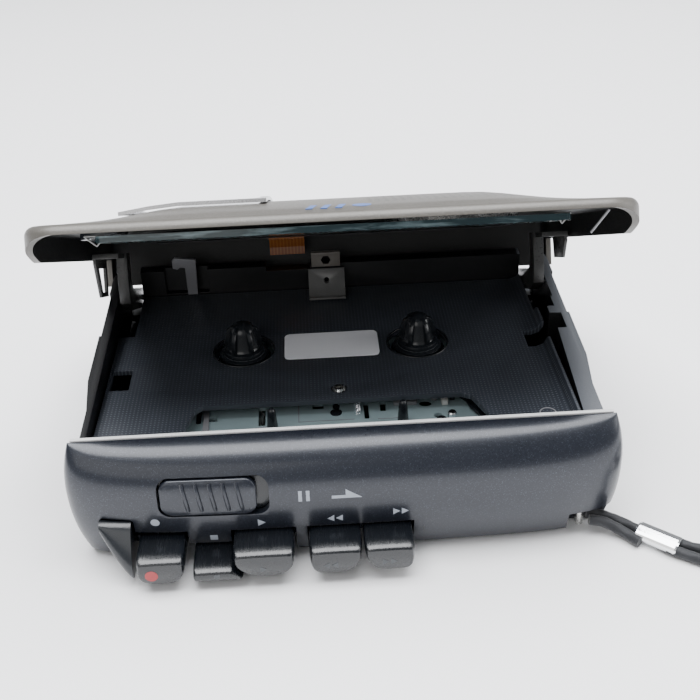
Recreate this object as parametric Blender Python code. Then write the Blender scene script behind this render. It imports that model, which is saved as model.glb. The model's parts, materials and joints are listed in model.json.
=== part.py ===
"""A cassette dictation machine, lying on its back with its lid open.

Every shape is drawn in millimetres and turned into metres when its object is made.
X runs along the long side, -Y points to the keys and +Z points up. The origin is the
middle of the flat base.
"""

import math

import bmesh
import bpy
from mathutils import Matrix, Vector

MM = 0.001
GAP = 0.3

# Case
RIM_EDGE_Y = -34.0
RIM_EDGE_Z = 28.0
CASE_REAR_Y = 41.0
CASE_FRONT_Y = -33.4
CASE_SEAM_Z = 15.0
FRAME_HALF_WIDTH = 57.5
RIM_FRONT_Z = 25.4
RIM_RISE = math.tan(math.radians(3.5))
WALL = 2.2
FLOOR = 1.8
PANEL_HALF_WIDTH = 59.3
PANEL_WIDEST_Z = 17.0
PANEL_DEPTH = 9.5
PANEL_BELLY_Z = 15.0
PANEL_WALL = 1.6

# Cassette deck
DECK_Z = 22.6
DECK_THICKNESS = 1.2
CHASSIS_Z = 18.2
CHASSIS_THICKNESS = 1.0
HUB_Y = 7.5
SUPPLY_X = -22.7
TAKEUP_X = 19.9
SPINDLE_TOP_Z = 30.6
RECESS_RADIUS = 7.4
CAPSTAN = (24.8, -20.4)
MOTOR = (-27.0, -14.0)
FLYWHEEL_RADIUS = 9.8
FLYWHEEL_GROOVE = 9.4
PULLEY_GROOVE = 2.2
PULLEY_RADIUS = 2.6

# Lid, drawn flat around its hinge axis and then tipped open
HINGE_Y = 42.5
HINGE_Z = 20.0
LID_OPEN_DEG = 26.5
LID_HALF_WIDTH = 60.8
LID_FRONT = -87.0
LID_REAR = 3.2
LID_MIDDLE = (LID_FRONT + LID_REAR) / 2
LID_EDGE_TOP = 17.5
LID_EDGE_RADIUS = 2.0
LID_CROWN = 4.3
LID_WALL = 1.4
LIP_BOTTOM = 15.6
LIP_START = -74.0
SKIRT_BOTTOM = 10.4
HINGE_SKIRT_BOTTOM = 3.2

# Wrist strap
STRAP_DIAMETER = 2.4
STRAP_LIFT = 1.3
FERRULE_SPREAD = 1.65
COIL_CENTRE = (101.0, -40.0)
COIL_RADIUS = 14.0
COIL_WIDTH = 5.6
COIL_LOW = 0.1
COIL_HIGH = 4.9


def clear_scene():
    for obj in list(bpy.data.objects):
        bpy.data.objects.remove(obj, do_unlink=True)


def material(name, colour, roughness, metallic=0.0):
    found = bpy.data.materials.get(name)
    if found:
        return found
    made = bpy.data.materials.new(name)
    made.use_nodes = True
    shader = made.node_tree.nodes["Principled BSDF"]
    shader.inputs["Base Color"].default_value = (*colour, 1.0)
    shader.inputs["Roughness"].default_value = roughness
    shader.inputs["Metallic"].default_value = metallic
    made.diffuse_color = (*colour, 1.0)
    return made


def charcoal():
    return material("charcoal_paint", (0.07, 0.08, 0.10), 0.35, 0.4)


def black_plastic():
    return material("black_plastic", (0.012, 0.014, 0.017), 0.45)


def grey_plastic():
    return material("grey_plastic", (0.16, 0.16, 0.17), 0.5)


def lid_grey():
    return material("lid_grey", (0.30, 0.28, 0.26), 0.45, 0.2)


def steel():
    return material("steel", (0.55, 0.55, 0.54), 0.3, 1.0)


def bright_metal():
    return material("bright_metal", (0.8, 0.8, 0.8), 0.15, 1.0)


def brass():
    return material("brass", (0.6, 0.45, 0.2), 0.35, 1.0)


def teal_paint():
    return material("teal_paint", (0.25, 0.32, 0.34), 0.4)


def rubber():
    return material("rubber", (0.015, 0.015, 0.016), 0.7)


def clear_plastic():
    return material("smoked_window", (0.02, 0.03, 0.035), 0.08)


def cord_black():
    return material("strap_black", (0.008, 0.009, 0.012), 0.8)


def make_object(name, bm, finish, parent=None, at=(0.0, 0.0, 0.0), helper=False):
    """Turns a mesh drawn in millimetres into an object in metres."""
    bmesh.ops.recalc_face_normals(bm, faces=bm.faces)
    bmesh.ops.scale(bm, vec=(MM, MM, MM), verts=bm.verts)
    mesh = bpy.data.meshes.new(name)
    bm.to_mesh(mesh)
    bm.free()
    obj = bpy.data.objects.new(name, mesh)
    bpy.context.scene.collection.objects.link(obj)
    obj.location = [MM * c for c in at]
    obj.parent = parent
    if helper:
        obj.hide_render = True
        obj.display_type = "WIRE"
        return obj
    mesh.materials.append(finish)
    mesh.shade_smooth()
    mesh.set_sharp_from_angle(angle=math.radians(32))
    return obj


def combine(obj, bm, operation):
    """Cuts a drawn shape out of an object, or joins it on."""
    tool = make_object(f"{obj.name}_{operation.lower()}_{len(obj.modifiers)}", bm, None, obj, helper=True)
    step = obj.modifiers.new(operation.title(), "BOOLEAN")
    step.operation = operation
    step.object = tool
    return obj


def cut(obj, bm):
    return combine(obj, bm, "DIFFERENCE")


def join(obj, bm):
    return combine(obj, bm, "UNION")


def empty(name, at, parent=None):
    pivot = bpy.data.objects.new(name, None)
    bpy.context.scene.collection.objects.link(pivot)
    pivot.location = [MM * c for c in at]
    pivot.parent = parent
    return pivot


def add_loft(bm, rings):
    """Joins rings of equal length into one closed body with flat ends."""
    loops = [[bm.verts.new(p) for p in ring] for ring in rings]
    for low, high in zip(loops, loops[1:]):
        for i in range(len(low)):
            j = (i + 1) % len(low)
            bm.faces.new((low[i], low[j], high[j], high[i]))
    bm.faces.new(loops[0][::-1])
    bm.faces.new(loops[-1])


AXES = {
    "X": lambda a, b, c: (c, a, b),
    "Y": lambda a, b, c: (a, c, b),
    "Z": lambda a, b, c: (a, b, c),
}


def add_prism(bm, outline, low, high, axis="Z"):
    """Extrudes an outline: of (y, z) along X, of (x, z) along Y or of (x, y) along Z."""
    place = AXES[axis]
    add_loft(bm, [[place(a, b, c) for a, b in outline] for c in (low, high)])


def add_box(bm, x, y, z):
    add_prism(bm, [(x[0], y[0]), (x[1], y[0]), (x[1], y[1]), (x[0], y[1])], *z)


def add_turned(bm, profile, centre=(0.0, 0.0), segments=20, axis="Z"):
    """Turns a (radius, height) profile about a line through the centre, along the axis."""
    place = AXES[axis]
    rings = []
    for radius, height in profile:
        ring = []
        for i in range(segments):
            angle = math.tau * i / segments
            a = centre[0] + radius * math.cos(angle)
            b = centre[1] + radius * math.sin(angle)
            ring.append(place(a, b, height))
        rings.append(ring)
    add_loft(bm, rings)


def add_band(bm, outer, inner, low, high):
    """A flat closed band between two loops of equal length."""
    loops = []
    for loop, height in ((outer, low), (outer, high), (inner, high), (inner, low)):
        loops.append([bm.verts.new((x, y, height)) for x, y in loop])
    for k in range(4):
        here, after = loops[k], loops[(k + 1) % 4]
        for i in range(len(here)):
            j = (i + 1) % len(here)
            bm.faces.new((here[i], here[j], after[j], after[i]))


def rounded_rectangle(x, y, radii, steps=4):
    """Corner radii run from the low corner, counter-clockwise."""
    corners = [(x[0], y[0], 180), (x[1], y[0], 270), (x[1], y[1], 0), (x[0], y[1], 90)]
    points = []
    for (cx, cy, start), radius in zip(corners, radii):
        mx = cx + radius if start in (180, 90) else cx - radius
        my = cy + radius if start in (180, 270) else cy - radius
        for k in range(steps + 1):
            angle = math.radians(start + 90 * k / steps)
            points.append((mx + radius * math.cos(angle), my + radius * math.sin(angle)))
    return points


def circle(centre, radius, segments=16):
    turn = [math.tau * i / segments for i in range(segments)]
    return [(centre[0] + radius * math.cos(a), centre[1] + radius * math.sin(a)) for a in turn]


def mesh(*shapes):
    """Draws shapes, given as (function, arguments), into one new mesh."""
    bm = bmesh.new()
    for draw, *values in shapes:
        draw(bm, *values)
    return bm


def half_width(z):
    """The panel and the case are widest at mid height, and draw in towards the rim and the base."""
    if z > PANEL_WIDEST_Z:
        share = (z - PANEL_WIDEST_Z) / (RIM_EDGE_Z - PANEL_WIDEST_Z)
        return PANEL_HALF_WIDTH - 1.7 * share**2.2
    return PANEL_HALF_WIDTH - 3.0 * ((PANEL_WIDEST_Z - z) / PANEL_WIDEST_Z) ** 2.2


def panel_depth(z):
    """How far the panel stands in front of its rear edge, at mid width."""
    if z >= PANEL_BELLY_Z:
        share = (z - PANEL_BELLY_Z) / (RIM_EDGE_Z - PANEL_BELLY_Z)
        return PANEL_DEPTH * max(1.0 - share**2.6, 0.0) ** (1 / 1.8)
    return PANEL_DEPTH - 3.5 * ((PANEL_BELLY_Z - z) / PANEL_BELLY_Z) ** 2.2


def panel_point(x, z, offset=0.0, depth=None):
    """A point on the panel's bowed face, moved outwards by the offset."""
    across = min(abs(x) / half_width(z), 1.0)
    bow = (1.0 - across**3.5) ** (1 / 3.5)
    front = (panel_depth(z) if depth is None else depth) * bow
    return (x, RIM_EDGE_Y - front - offset, z)


def rim_z(y):
    return RIM_FRONT_Z + (y - CASE_FRONT_Y) * RIM_RISE


# ---------------------------------------------------------------- case


def bottom_case():
    bm = bmesh.new()
    rings = []
    insets = ((0.0, 2.4), (0.8, 0.9), (2.5, 0.0), (6.0, 0.0), (11.0, 0.0), (CASE_SEAM_Z - GAP, 0.0))
    for z, inset in insets:
        wide = half_width(z) - 0.9 - inset
        box = ((-wide, wide), (CASE_FRONT_Y, CASE_REAR_Y - inset))
        rings.append([(x, y, z) for x, y in rounded_rectangle(*box, (1.0, 1.0, 6.0, 6.0))])
    add_loft(bm, rings)
    case = make_object("bottom_case", bm, charcoal())
    rib = (20.8, 22.4)
    inner = 53.6
    cut(case, mesh(
        (add_box, (-inner, inner), (CASE_FRONT_Y + WALL, rib[0]), (FLOOR, 18.0)),
        (add_box, (-inner, inner), (rib[1], CASE_REAR_Y - WALL), (FLOOR, 18.0)),
    ))
    cut(case, mesh((add_box, (-46.4, 14.2), (-35.0, -30.0), (2.0, 10.4))))
    cut(case, mesh((add_box, (-49.8, 49.8), (24.6, 45.0), (-1.0, 1.9))))
    cut(case, mesh((add_turned, [(3.1, 50.0), (3.1, 60.0)], (HUB_Y, 10.0), 16, "X")))
    cut(case, mesh((add_box, (-60.0, -50.0), (-8.6, 8.6), (6.6, 9.4))))


def battery_door():
    door = make_object(
        "battery_door",
        mesh((add_box, (-49.5, 49.5), (24.9, CASE_REAR_Y - 1.2), (0.0, 1.55))),
        charcoal(),
    )
    for k in range(4):
        cut(door, mesh((add_box, (-9.0, 9.0), (29.0 + 1.8 * k, 29.8 + 1.8 * k), (-0.5, 0.5))))


def middle_frame_inner():
    """The well's outline: the right wall is thick, and steps in at its lugs and notches."""
    return [
        (-54.8, -31.0), (51.8, -31.0), (53.2, 2.4), (55.4, 2.4), (55.4, 8.8), (52.6, 9.0),
        (52.6, 12.0), (54.4, 12.0), (54.4, 16.6), (54.9, 16.6), (54.9, 37.8), (-54.8, 37.8),
    ]


def middle_frame():
    rear = rounded_rectangle(
        (-FRAME_HALF_WIDTH, FRAME_HALF_WIDTH), (-8.0, CASE_REAR_Y), (0.5, 0.5, 6.0, 6.0), 5
    )[12:]
    waist = FRAME_HALF_WIDTH - 1.3
    outline = [(-FRAME_HALF_WIDTH, -9.0), (-FRAME_HALF_WIDTH + 0.6, -14.0)]
    outline += [(-waist, -20.0), (-waist, CASE_FRONT_Y)]
    outline += [(-x, y) for x, y in outline[::-1]] + rear
    frame = make_object("middle_frame", mesh((add_prism, outline, CASE_SEAM_Z, 34.0)), grey_plastic())
    cut(frame, mesh((add_prism, middle_frame_inner(), 14.0, 40.0)))
    wedge = [(-45.0, rim_z(-45.0)), (60.0, rim_z(60.0)), (60.0, 50.0), (-45.0, 50.0)]
    cut(frame, mesh((add_prism, wedge, -70.0, 70.0, "X")))
    cut(frame, mesh((add_box, (-40.0, 38.0), (-36.0, -30.0), (16.0, 30.0))))
    cut(frame, mesh(
        (add_box, (-44.4, -33.0), (36.0, 39.8), (23.0, 34.0)),
        (add_box, (-17.4, -5.6), (36.0, 45.0), (28.4, 34.0)),
    ))
    for side in (-1, 1):
        cut(frame, mesh((add_box, sorted((side * 57.0, side * 60.0)), (9.0, 28.0), (18.6, 34.0))))
    for side in (-1, 1):
        slot = sorted((side * 50.7, side * 54.5))
        cut(frame, mesh((add_box, slot, (36.0, 45.0), (16.9, 40.0))))
        join(frame, mesh((add_box, sorted((side * 49.8, side * 55.6)), (39.5, 44.9), (15.0, 16.6))))
        barrel = [(39.5, 17.6), (HINGE_Y, 17.6)]
        for k in range(1, 8):
            angle = math.radians(-90 + 180 * k / 8)
            barrel.append((HINGE_Y + 2.4 * math.cos(angle), HINGE_Z + 2.4 * math.sin(angle)))
        barrel += [(HINGE_Y, 22.4), (39.5, 22.4)]
        join(frame, mesh((add_prism, barrel, *sorted((side * 45.5, side * 50.2)), "X")))
        bore = [(1.1, v) for v in sorted((side * 44.0, side * 51.5))]
        cut(frame, mesh((add_turned, bore, (HINGE_Y, HINGE_Z), 12, "X")))


def panel_profile():
    """(depth, height) along the panel's face, from the rim's edge down to the base."""
    upper, lower = 9, 5
    points = [(0.0, RIM_EDGE_Z)]
    for k in range(1, upper + 1):
        angle = math.pi / 2 * k / upper
        depth = PANEL_DEPTH * math.sin(angle) ** (2 / 1.8)
        z = PANEL_BELLY_Z + (RIM_EDGE_Z - PANEL_BELLY_Z) * math.cos(angle) ** (2 / 2.6)
        points.append((depth, z))
    for k in range(1, lower + 1):
        z = PANEL_BELLY_Z + (1.6 - PANEL_BELLY_Z) * k / lower
        points.append((panel_depth(z), z))
    return points + [(panel_depth(0.0) - 1.0, 0.6), (0.0, 0.5)]


def panel_layer(bm, inset, across=26):
    """Rows of points over the panel's face, drawn in by the inset on every side."""
    rows = []
    squeeze = 1.0 - 2 * inset / (RIM_EDGE_Z - 0.5)
    middle = (RIM_EDGE_Z + 0.5) / 2
    for depth, z in panel_profile():
        row = []
        for k in range(across + 1):
            turn = math.cos(math.pi * k / across)
            x = half_width(z) * math.copysign(abs(turn) ** (2 / 3.5), turn)
            front = (RIM_EDGE_Y - panel_point(x, z, depth=depth)[1]) * (1.0 - inset / PANEL_DEPTH)
            narrow = 1.0 - inset / half_width(z)
            row.append(bm.verts.new((x * narrow, RIM_EDGE_Y - front, middle + (z - middle) * squeeze)))
        rows.append(row)
    return rows


def border(rows):
    """The verts round the edge of a grid, in order."""
    right = [row[-1] for row in rows[1:]]
    left = [row[0] for row in rows[-2:0:-1]]
    return rows[0] + right + rows[-1][-2::-1] + left


def close_layers(bm, outer, inner):
    """Fills two matching grids with faces and joins them round their edges."""
    for rows in (outer, inner):
        for here, after in zip(rows, rows[1:]):
            for i in range(len(here) - 1):
                bm.faces.new((here[i], after[i], after[i + 1], here[i + 1]))
    rim, lining = border(outer), border(inner)
    for k in range(len(rim)):
        n = (k + 1) % len(rim)
        bm.faces.new((rim[k], rim[n], lining[n], lining[k]))


def front_panel():
    bm = bmesh.new()
    close_layers(bm, panel_layer(bm, 0.0), panel_layer(bm, PANEL_WALL))
    panel = make_object("front_panel", bm, charcoal())
    keyhole = [(-50.8, -1.0), (-11.1, -1.0), (-11.1, 9.6), (-45.9, 9.6), (-45.9, 13.3), (-50.8, 13.3)]
    cut(panel, mesh(
        (add_prism, keyhole, -60.0, -34.5, "Y"),
        (add_box, (-8.8, 13.9), (-60.0, -34.5), (-1.0, 9.6)),
    ))
    cut(panel, mesh((add_box, (47.63, 70.0), (-60.0, -35.27), (-3.0, 6.7))))
    slot = rounded_rectangle((-39.2, -16.3), (14.0, 22.8), (0.9,) * 4, 2)
    cut(panel, mesh((add_prism, slot, -60.0, -36.0, "Y")))


def trim_strip():
    strip = rounded_rectangle((-57.2, 57.2), (-33.7, -32.8), (0.3, 0.3, 0.3, 0.3), 2)
    make_object("trim_strip", mesh((add_prism, strip, 25.75, 28.15)), bright_metal())


def key_guard():
    """The fin that stands beside the record key."""
    near, far = -46.2, -50.5
    outer = [(-36.0, 1.0), (-42.4, 12.8), (-44.0, 11.4), (-47.0, 7.0), (-48.6, 3.6), (-47.8, 2.0)]
    inner = [(-36.0, 1.0), (-41.6, 12.8), (-42.6, 10.6), (-43.8, 6.6), (-44.6, 3.8), (-43.8, 2.0)]
    bm = mesh((add_loft, [[(near, y, z) for y, z in outer], [(far, y, z) for y, z in inner]]))
    make_object("key_guard", bm, black_plastic())


# ---------------------------------------------------------------- deck


def deck_plate():
    high, low = DECK_Z, DECK_Z - DECK_THICKNESS
    profile = [
        (-54.4, low), (48.4, low), (50.6, low + 0.8), (51.6, low + 2.6),
        (51.6, low + 3.8), (50.9, low + 3.8), (50.0, high + 0.8), (48.2, high), (-54.4, high),
    ]
    deck = make_object("deck_plate", mesh((add_prism, profile, -30.4, 37.4, "Y")), black_plastic())
    cut(deck, mesh(
        (add_box, (-60.0, -50.5), (16.8, 40.0), (16.0, 30.0)),
        (add_box, (50.5, 60.0), (16.8, 40.0), (16.0, 30.0)),
        (add_box, (-53.6, -49.0), (-7.4, 1.0), (16.0, 30.0)),
        (add_box, (46.4, 53.0), (2.4, 9.6), (16.0, 30.0)),
    ))
    cut(deck, mesh(
        (add_prism, circle((SUPPLY_X, HUB_Y), RECESS_RADIUS, 24), 18.0, 26.0),
        (add_prism, circle((TAKEUP_X, HUB_Y), RECESS_RADIUS, 24), 18.0, 26.0),
        (add_prism, circle((-0.2, -11.2), 1.9, 12), DECK_Z - 0.8, 26.0),
        (add_prism, rounded_rectangle((-13.1, 10.6), (2.2, 14.3), (1.6,) * 4, 3), DECK_Z - 0.6, 26.0),
    ))
    opening = [(-36.0, -35.0), (34.0, -35.0), (33.0, -26.0), (29.6, -17.0), (27.6, -15.7)]
    opening += [(-31.3, -15.7), (-32.9, -17.2), (-35.2, -26.0)]
    cut(deck, mesh((add_prism, opening, 18.0, 26.0)))


def reflector_strip():
    outline = rounded_rectangle((-12.8, 10.3), (2.5, 14.0), (1.4,) * 4, 3)
    strip = mesh((add_prism, outline, DECK_Z - 0.3, DECK_Z + 0.05))
    make_object("reflector_strip", strip, bright_metal())


def deck_screw():
    profile = [(0.9, DECK_Z - 0.5), (1.6, DECK_Z - 0.5), (1.6, DECK_Z), (1.1, DECK_Z + 0.35)]
    screw = make_object("deck_screw", mesh((add_turned, profile, (-0.2, -11.2), 16)), steel())
    cut(screw, mesh((add_box, (-1.0, 0.6), (-11.4, -11.0), (DECK_Z, DECK_Z + 1.0))))


def chassis_plate():
    low = CHASSIS_Z - CHASSIS_THICKNESS
    outline = rounded_rectangle((-46.0, 46.0), (-30.6, 20.4), (2.0,) * 4, 2)
    plate = make_object("chassis_plate", mesh((add_prism, outline, low, CHASSIS_Z)), teal_paint())
    holes = [
        circle((SUPPLY_X, HUB_Y), 2.4, 12), circle((TAKEUP_X, HUB_Y), 2.4, 12),
        circle(CAPSTAN, 1.4, 12), circle((19.6, -12.4), 1.7, 12), circle((22.0, -17.8), 1.0, 10),
        [(-19.0, -18.2), (-17.4, -18.2), (-17.4, -11.0), (-19.0, -11.0)],
        [(-6.6, -12.8), (-4.0, -12.8), (-4.0, -10.4), (-6.6, -10.4)],
        [(-1.9, -15.0), (-0.3, -15.0), (-0.3, -12.2), (-1.9, -12.2)],
        [(5.2, -17.6), (6.3, -17.6), (6.3, -11.0), (5.2, -11.0)],
        [(9.0, -15.0), (10.3, -15.0), (10.3, -11.0), (9.0, -11.0)],
        [(-31.8, -15.6), (-28.4, -15.6), (-28.4, -13.8), (-31.8, -13.8)],
    ]
    cut(plate, mesh(*[(add_prism, hole, low - 1.0, CHASSIS_Z + 1.0) for hole in holes]))


def guide_pins():
    profile = [(1.3, CHASSIS_Z + GAP), (1.15, 21.0), (0.9, 24.0), (0.5, 24.6)]
    for name, place in (("guide_pin_left", (-15.6, -20.9)), ("guide_pin_right", (13.7, -20.4))):
        make_object(name, mesh((add_turned, profile, place, 14)), black_plastic())


def rear_springs():
    """The leaf that pushes the cassette forwards, and the clip that stands over it."""
    leaf = [(30.2, 23.0), (31.6, 23.0), (34.2, 25.0), (36.8, 29.0)]
    leaf += [(36.2, 29.2), (33.6, 25.6), (31.2, 23.6), (30.2, 23.5)]
    spring = make_object("cassette_leaf_spring", mesh((add_prism, leaf, -6.2, 3.4, "X")), steel())
    cut(spring, mesh((add_turned, [(0.7, 20.0), (0.7, 40.0)], (-1.4, 26.6), 10, "Y")))
    clip = [(36.4, 29.6), (37.0, 29.6), (37.4, 33.4), (36.6, 34.2)]
    clip += [(35.4, 34.2), (35.4, 33.6), (36.4, 33.5), (36.7, 33.0)]
    plate = make_object("leaf_spring_clip", mesh((add_prism, clip, -5.2, 2.4, "X")), grey_plastic())
    cut(plate, mesh((add_turned, [(1.3, 30.0), (1.3, 40.0)], (-1.4, 31.4), 6, "Y")))


def head_return_spring():
    """A close-wound coil, drawn as its ridged outer shape."""
    turns, radius, wire = 9, 0.75, 0.16
    front, rear = -17.2, -10.2
    profile = []
    for k in range(2 * turns + 1):
        profile.append((radius - wire * (k % 2), front + (rear - front) * k / (2 * turns)))
    bm = mesh((add_turned, profile, (3.7, CHASSIS_Z + 1.15), 8, "Y"))
    make_object("head_return_spring", bm, brass())


def safety_lever():
    outline = [
        (-38.6, 23.2), (-36.0, 23.2), (-35.6, 33.4), (-41.0, 34.2),
        (-41.8, 33.4), (-41.8, 31.2), (-40.6, 30.8), (-39.8, 31.4), (-38.6, 31.2),
    ]
    pivot = empty("safety_lever_axis", (-38.0, 36.9, 23.6))
    shape = [(x + 38.0, z - 23.6) for x, z in outline]
    make_object("record_safety_lever", mesh((add_prism, shape, -0.5, 0.4, "Y")), grey_plastic(), pivot)


# ---------------------------------------------------------------- mechanism


def heads():
    slide_outline = rounded_rectangle((-24.0, 22.0), (-39.6, -31.2), (1.0,) * 4, 2)
    slide_low = CHASSIS_Z + GAP
    slide = make_object(
        "head_slide", mesh((add_prism, slide_outline, slide_low, slide_low + 1.0)), steel()
    )
    cut(slide, mesh((add_box, (-21.0, -17.0), (-38.0, -33.0), (17.0, 21.0))))
    low = slide_low + 1.0 + GAP
    head_outline = [(-7.4, -37.6), (4.6, -37.6), (4.6, -33.0), (2.0, -31.6), (-4.8, -31.6), (-7.4, -33.0)]
    make_object("record_play_head", mesh((add_prism, head_outline, low, 25.0)), steel())
    erase_outline = rounded_rectangle((-14.6, -9.8), (-37.2, -32.4), (0.3, 0.3, 1.4, 1.4), 3)
    make_object("erase_head", mesh((add_prism, erase_outline, low, 24.4)), black_plastic())


def pinch_roller():
    axis = (34.5, -30.6)
    low = CHASSIS_Z + GAP
    pivot = empty("pinch_arm_axis", (*axis, 0.0))
    arm = [(2.2, -1.8), (2.4, 1.6), (-0.2, 6.0), (-1.8, 12.0), (-3.6, 17.0), (-6.4, 20.4)]
    arm += [(-7.4, 19.6), (-5.0, 16.2), (-3.6, 11.6), (-3.2, 6.0), (-5.0, 2.4)]
    arm += [(-8.8, 2.2), (-9.8, 0.4), (-8.8, -1.4)]
    lever = make_object("pinch_roller_arm", mesh((add_prism, arm, low, low + 1.0)), black_plastic())
    lever.parent = pivot
    roller = [(5.2, 19.8), (5.4, 20.0), (5.4, 20.8), (5.2, 21.0)]
    tyre = make_object("pinch_roller", mesh((add_turned, roller, (0.0, 0.0), 20)), rubber())
    tyre.parent = pivot
    tyre.location = (-8.4 * MM, 0.6 * MM, 0.0)


def flywheel():
    rim, groove = FLYWHEEL_RADIUS, FLYWHEEL_GROOVE
    wheel = [(3.0, 2.3), (3.0, 3.0), (rim - 0.6, 3.0), (rim, 3.4), (groove, 4.0), (groove, 4.9)]
    wheel += [(rim, 5.5), (rim - 0.6, 7.0), (rim - 2.4, 7.0), (rim - 3.0, 6.2), (3.4, 6.2), (3.0, 8.4)]
    axle = empty("flywheel_axis", (*CAPSTAN, 0.0))
    body = make_object("flywheel", mesh((add_turned, wheel, (0.0, 0.0), 32)), steel(), axle)
    cut(body, mesh((add_prism, circle((0.0, 0.0), 1.3, 12), 0.0, 12.0)))
    shaft = [(1.0, 2.3), (1.0, 20.6), (0.8, 20.9)]
    make_object("capstan_shaft", mesh((add_turned, shaft, (0.0, 0.0), 14)), bright_metal(), axle)


def motor():
    can = [(9.2, 7.4), (9.8, 7.8), (9.8, 16.0), (9.2, 16.5)]
    make_object("motor", mesh((add_turned, can, MOTOR, 28)), steel())
    pulley = [(PULLEY_RADIUS, 3.0), (PULLEY_RADIUS, 3.6), (PULLEY_GROOVE, 4.0), (PULLEY_GROOVE, 4.9)]
    pulley += [(PULLEY_RADIUS, 5.3), (PULLEY_RADIUS, 5.8), (0.9, 5.8), (0.9, 7.1)]
    axle = empty("motor_axis", (*MOTOR, 0.0))
    make_object("motor_pulley", mesh((add_turned, pulley, (0.0, 0.0), 16)), brass(), axle)


def belt_loop(extra, steps=14):
    """A loop round the pulley and the flywheel, a distance outside their running faces."""
    start, end = Vector(MOTOR), Vector(CAPSTAN)
    small, large = PULLEY_GROOVE + extra, FLYWHEEL_GROOVE + extra
    along = end - start
    heading = math.atan2(along.y, along.x)
    lean = math.acos((small - large) / along.length)
    points = []
    for centre, radius, first, last in (
        (start, small, heading + lean, heading + math.tau - lean),
        (end, large, heading - lean, heading + lean),
    ):
        for k in range(steps + 1):
            angle = first + (last - first) * k / steps
            points.append((centre.x + radius * math.cos(angle), centre.y + radius * math.sin(angle)))
    return points


def drive_belt():
    bm = bmesh.new()
    add_band(bm, belt_loop(1.1), belt_loop(0.35), 4.1, 4.8)
    make_object("drive_belt", bm, rubber())


def circuit_board():
    board = make_object(
        "circuit_board",
        mesh((add_box, (-48.0, 48.0), (-1.6, 19.6), (2.6, 3.8))),
        material("board_green", (0.03, 0.12, 0.06), 0.45),
    )
    cut(board, mesh((add_box, (-44.0, -38.0), (-3.0, 2.0), (2.0, 5.0))))


def battery_spring():
    profile = []
    turns = 5
    for k in range(2 * turns + 1):
        reach = k / (2 * turns)
        profile.append((5.0 - 3.0 * reach - 0.5 * (k % 2), -51.3 + 6.6 * reach))
    make_object("battery_spring", mesh((add_turned, profile, (31.0, 9.4), 12, "X")), steel())


def spindle(prefix, x):
    """A reel table with the splined cap that drives the cassette's hub."""
    axle = empty(f"{prefix}_axis", (x, HUB_Y, 0.0))
    table = [(6.4, 18.6), (6.6, 18.8), (6.6, 20.7), (6.4, 20.9)]
    disc = make_object(
        f"{prefix}_reel_table", mesh((add_turned, table, (0.0, 0.0), 28)), black_plastic(), axle
    )
    cut(disc, mesh((add_prism, circle((0.0, 0.0), 2.3, 12), 18.0, 22.0)))
    profile = [(1.9, 16.4), (1.9, 21.2), (5.9, 21.2), (5.9, 22.2), (5.0, 22.5), (4.9, 23.6), (4.0, 23.9)]
    profile += [(3.6, 24.6), (3.0, 28.4), (2.6, 29.4), (1.7, 30.1), (0.9, SPINDLE_TOP_Z)]
    cap = make_object(
        f"{prefix}_spindle", mesh((add_turned, profile, (0.0, 0.0), 24)), black_plastic(), axle
    )
    fin = [(1.2, 24.2), (4.5, 24.2), (4.4, 26.6), (3.5, 28.9), (2.0, 29.9), (1.2, 29.9)]
    for k in range(6):
        rib = mesh((add_prism, fin, -0.5, 0.5, "Y"))
        bmesh.ops.rotate(rib, verts=rib.verts, matrix=Matrix.Rotation(math.radians(60 * k), 3, "Z"))
        join(cap, rib)


def idler_gear():
    teeth = 20
    outline = []
    for k in range(4 * teeth):
        radius = 5.3 if k % 4 in (0, 1) else 4.7
        angle = math.tau * k / (4 * teeth)
        outline.append((radius * math.cos(angle), radius * math.sin(angle)))
    axle = empty("idler_axis", (9.0, 1.9, 0.0))
    make_object("idler_gear", mesh((add_prism, outline, 18.7, 20.4)), grey_plastic(), axle)


# ---------------------------------------------------------------- keys and controls


def key(name, outline, shift, rear_y=-31.9):
    """A key cap with a chamfered face, drawn as its outline seen from the front."""
    outline = [(x + shift, z) for x, z in outline]
    centre = [sum(p[i] for p in outline) / len(outline) for i in (0, 1)]
    small = [(centre[0] + 0.93 * (x - centre[0]), centre[1] + 0.88 * (z - centre[1])) for x, z in outline]
    rings = [
        [(x, rear_y, z) for x, z in outline],
        [(x, -49.9, z) for x, z in outline],
        [(x, -50.5, z) for x, z in small],
    ]
    return make_object(name, mesh((add_loft, rings)), black_plastic())


def keys():
    key("record_key", [
        (-45.4, 8.2), (-45.6, 4.8), (-44.8, 3.2), (-43.4, 2.5), (-38.0, 2.5), (-36.2, 3.2),
        (-35.4, 5.0), (-35.4, 8.2), (-36.2, 8.6), (-44.6, 8.6),
    ], 1.0)
    key("stop_key", [
        (-34.2, 4.9), (-34.5, 2.7), (-34.0, 2.4), (-23.9, 2.4), (-23.6, 2.7), (-25.7, 4.9),
        (-26.2, 5.2), (-33.8, 5.2),
    ], 1.3)
    key("play_key", [
        (-25.2, 8.8), (-25.3, 6.0), (-23.1, 3.8), (-20.8, 3.0), (-16.2, 3.0), (-13.6, 3.8),
        (-12.4, 5.8), (-12.5, 8.8), (-13.2, 9.2), (-24.6, 9.2),
    ], 0.9)
    key("rewind_key", [
        (-8.7, 8.6), (-8.8, 4.6), (-7.8, 3.1), (-6.4, 2.8), (-0.8, 2.9), (1.0, 3.9), (2.2, 6.0),
        (2.3, 8.6), (1.7, 9.1), (-8.1, 9.1),
    ], 0.2)
    key("forward_key", [
        (2.8, 8.6), (2.9, 6.0), (4.2, 3.9), (5.9, 2.9), (11.4, 2.8), (12.8, 3.3), (13.4, 4.8),
        (13.3, 8.6), (12.7, 9.1), (3.4, 9.1),
    ], 0.1)


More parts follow.
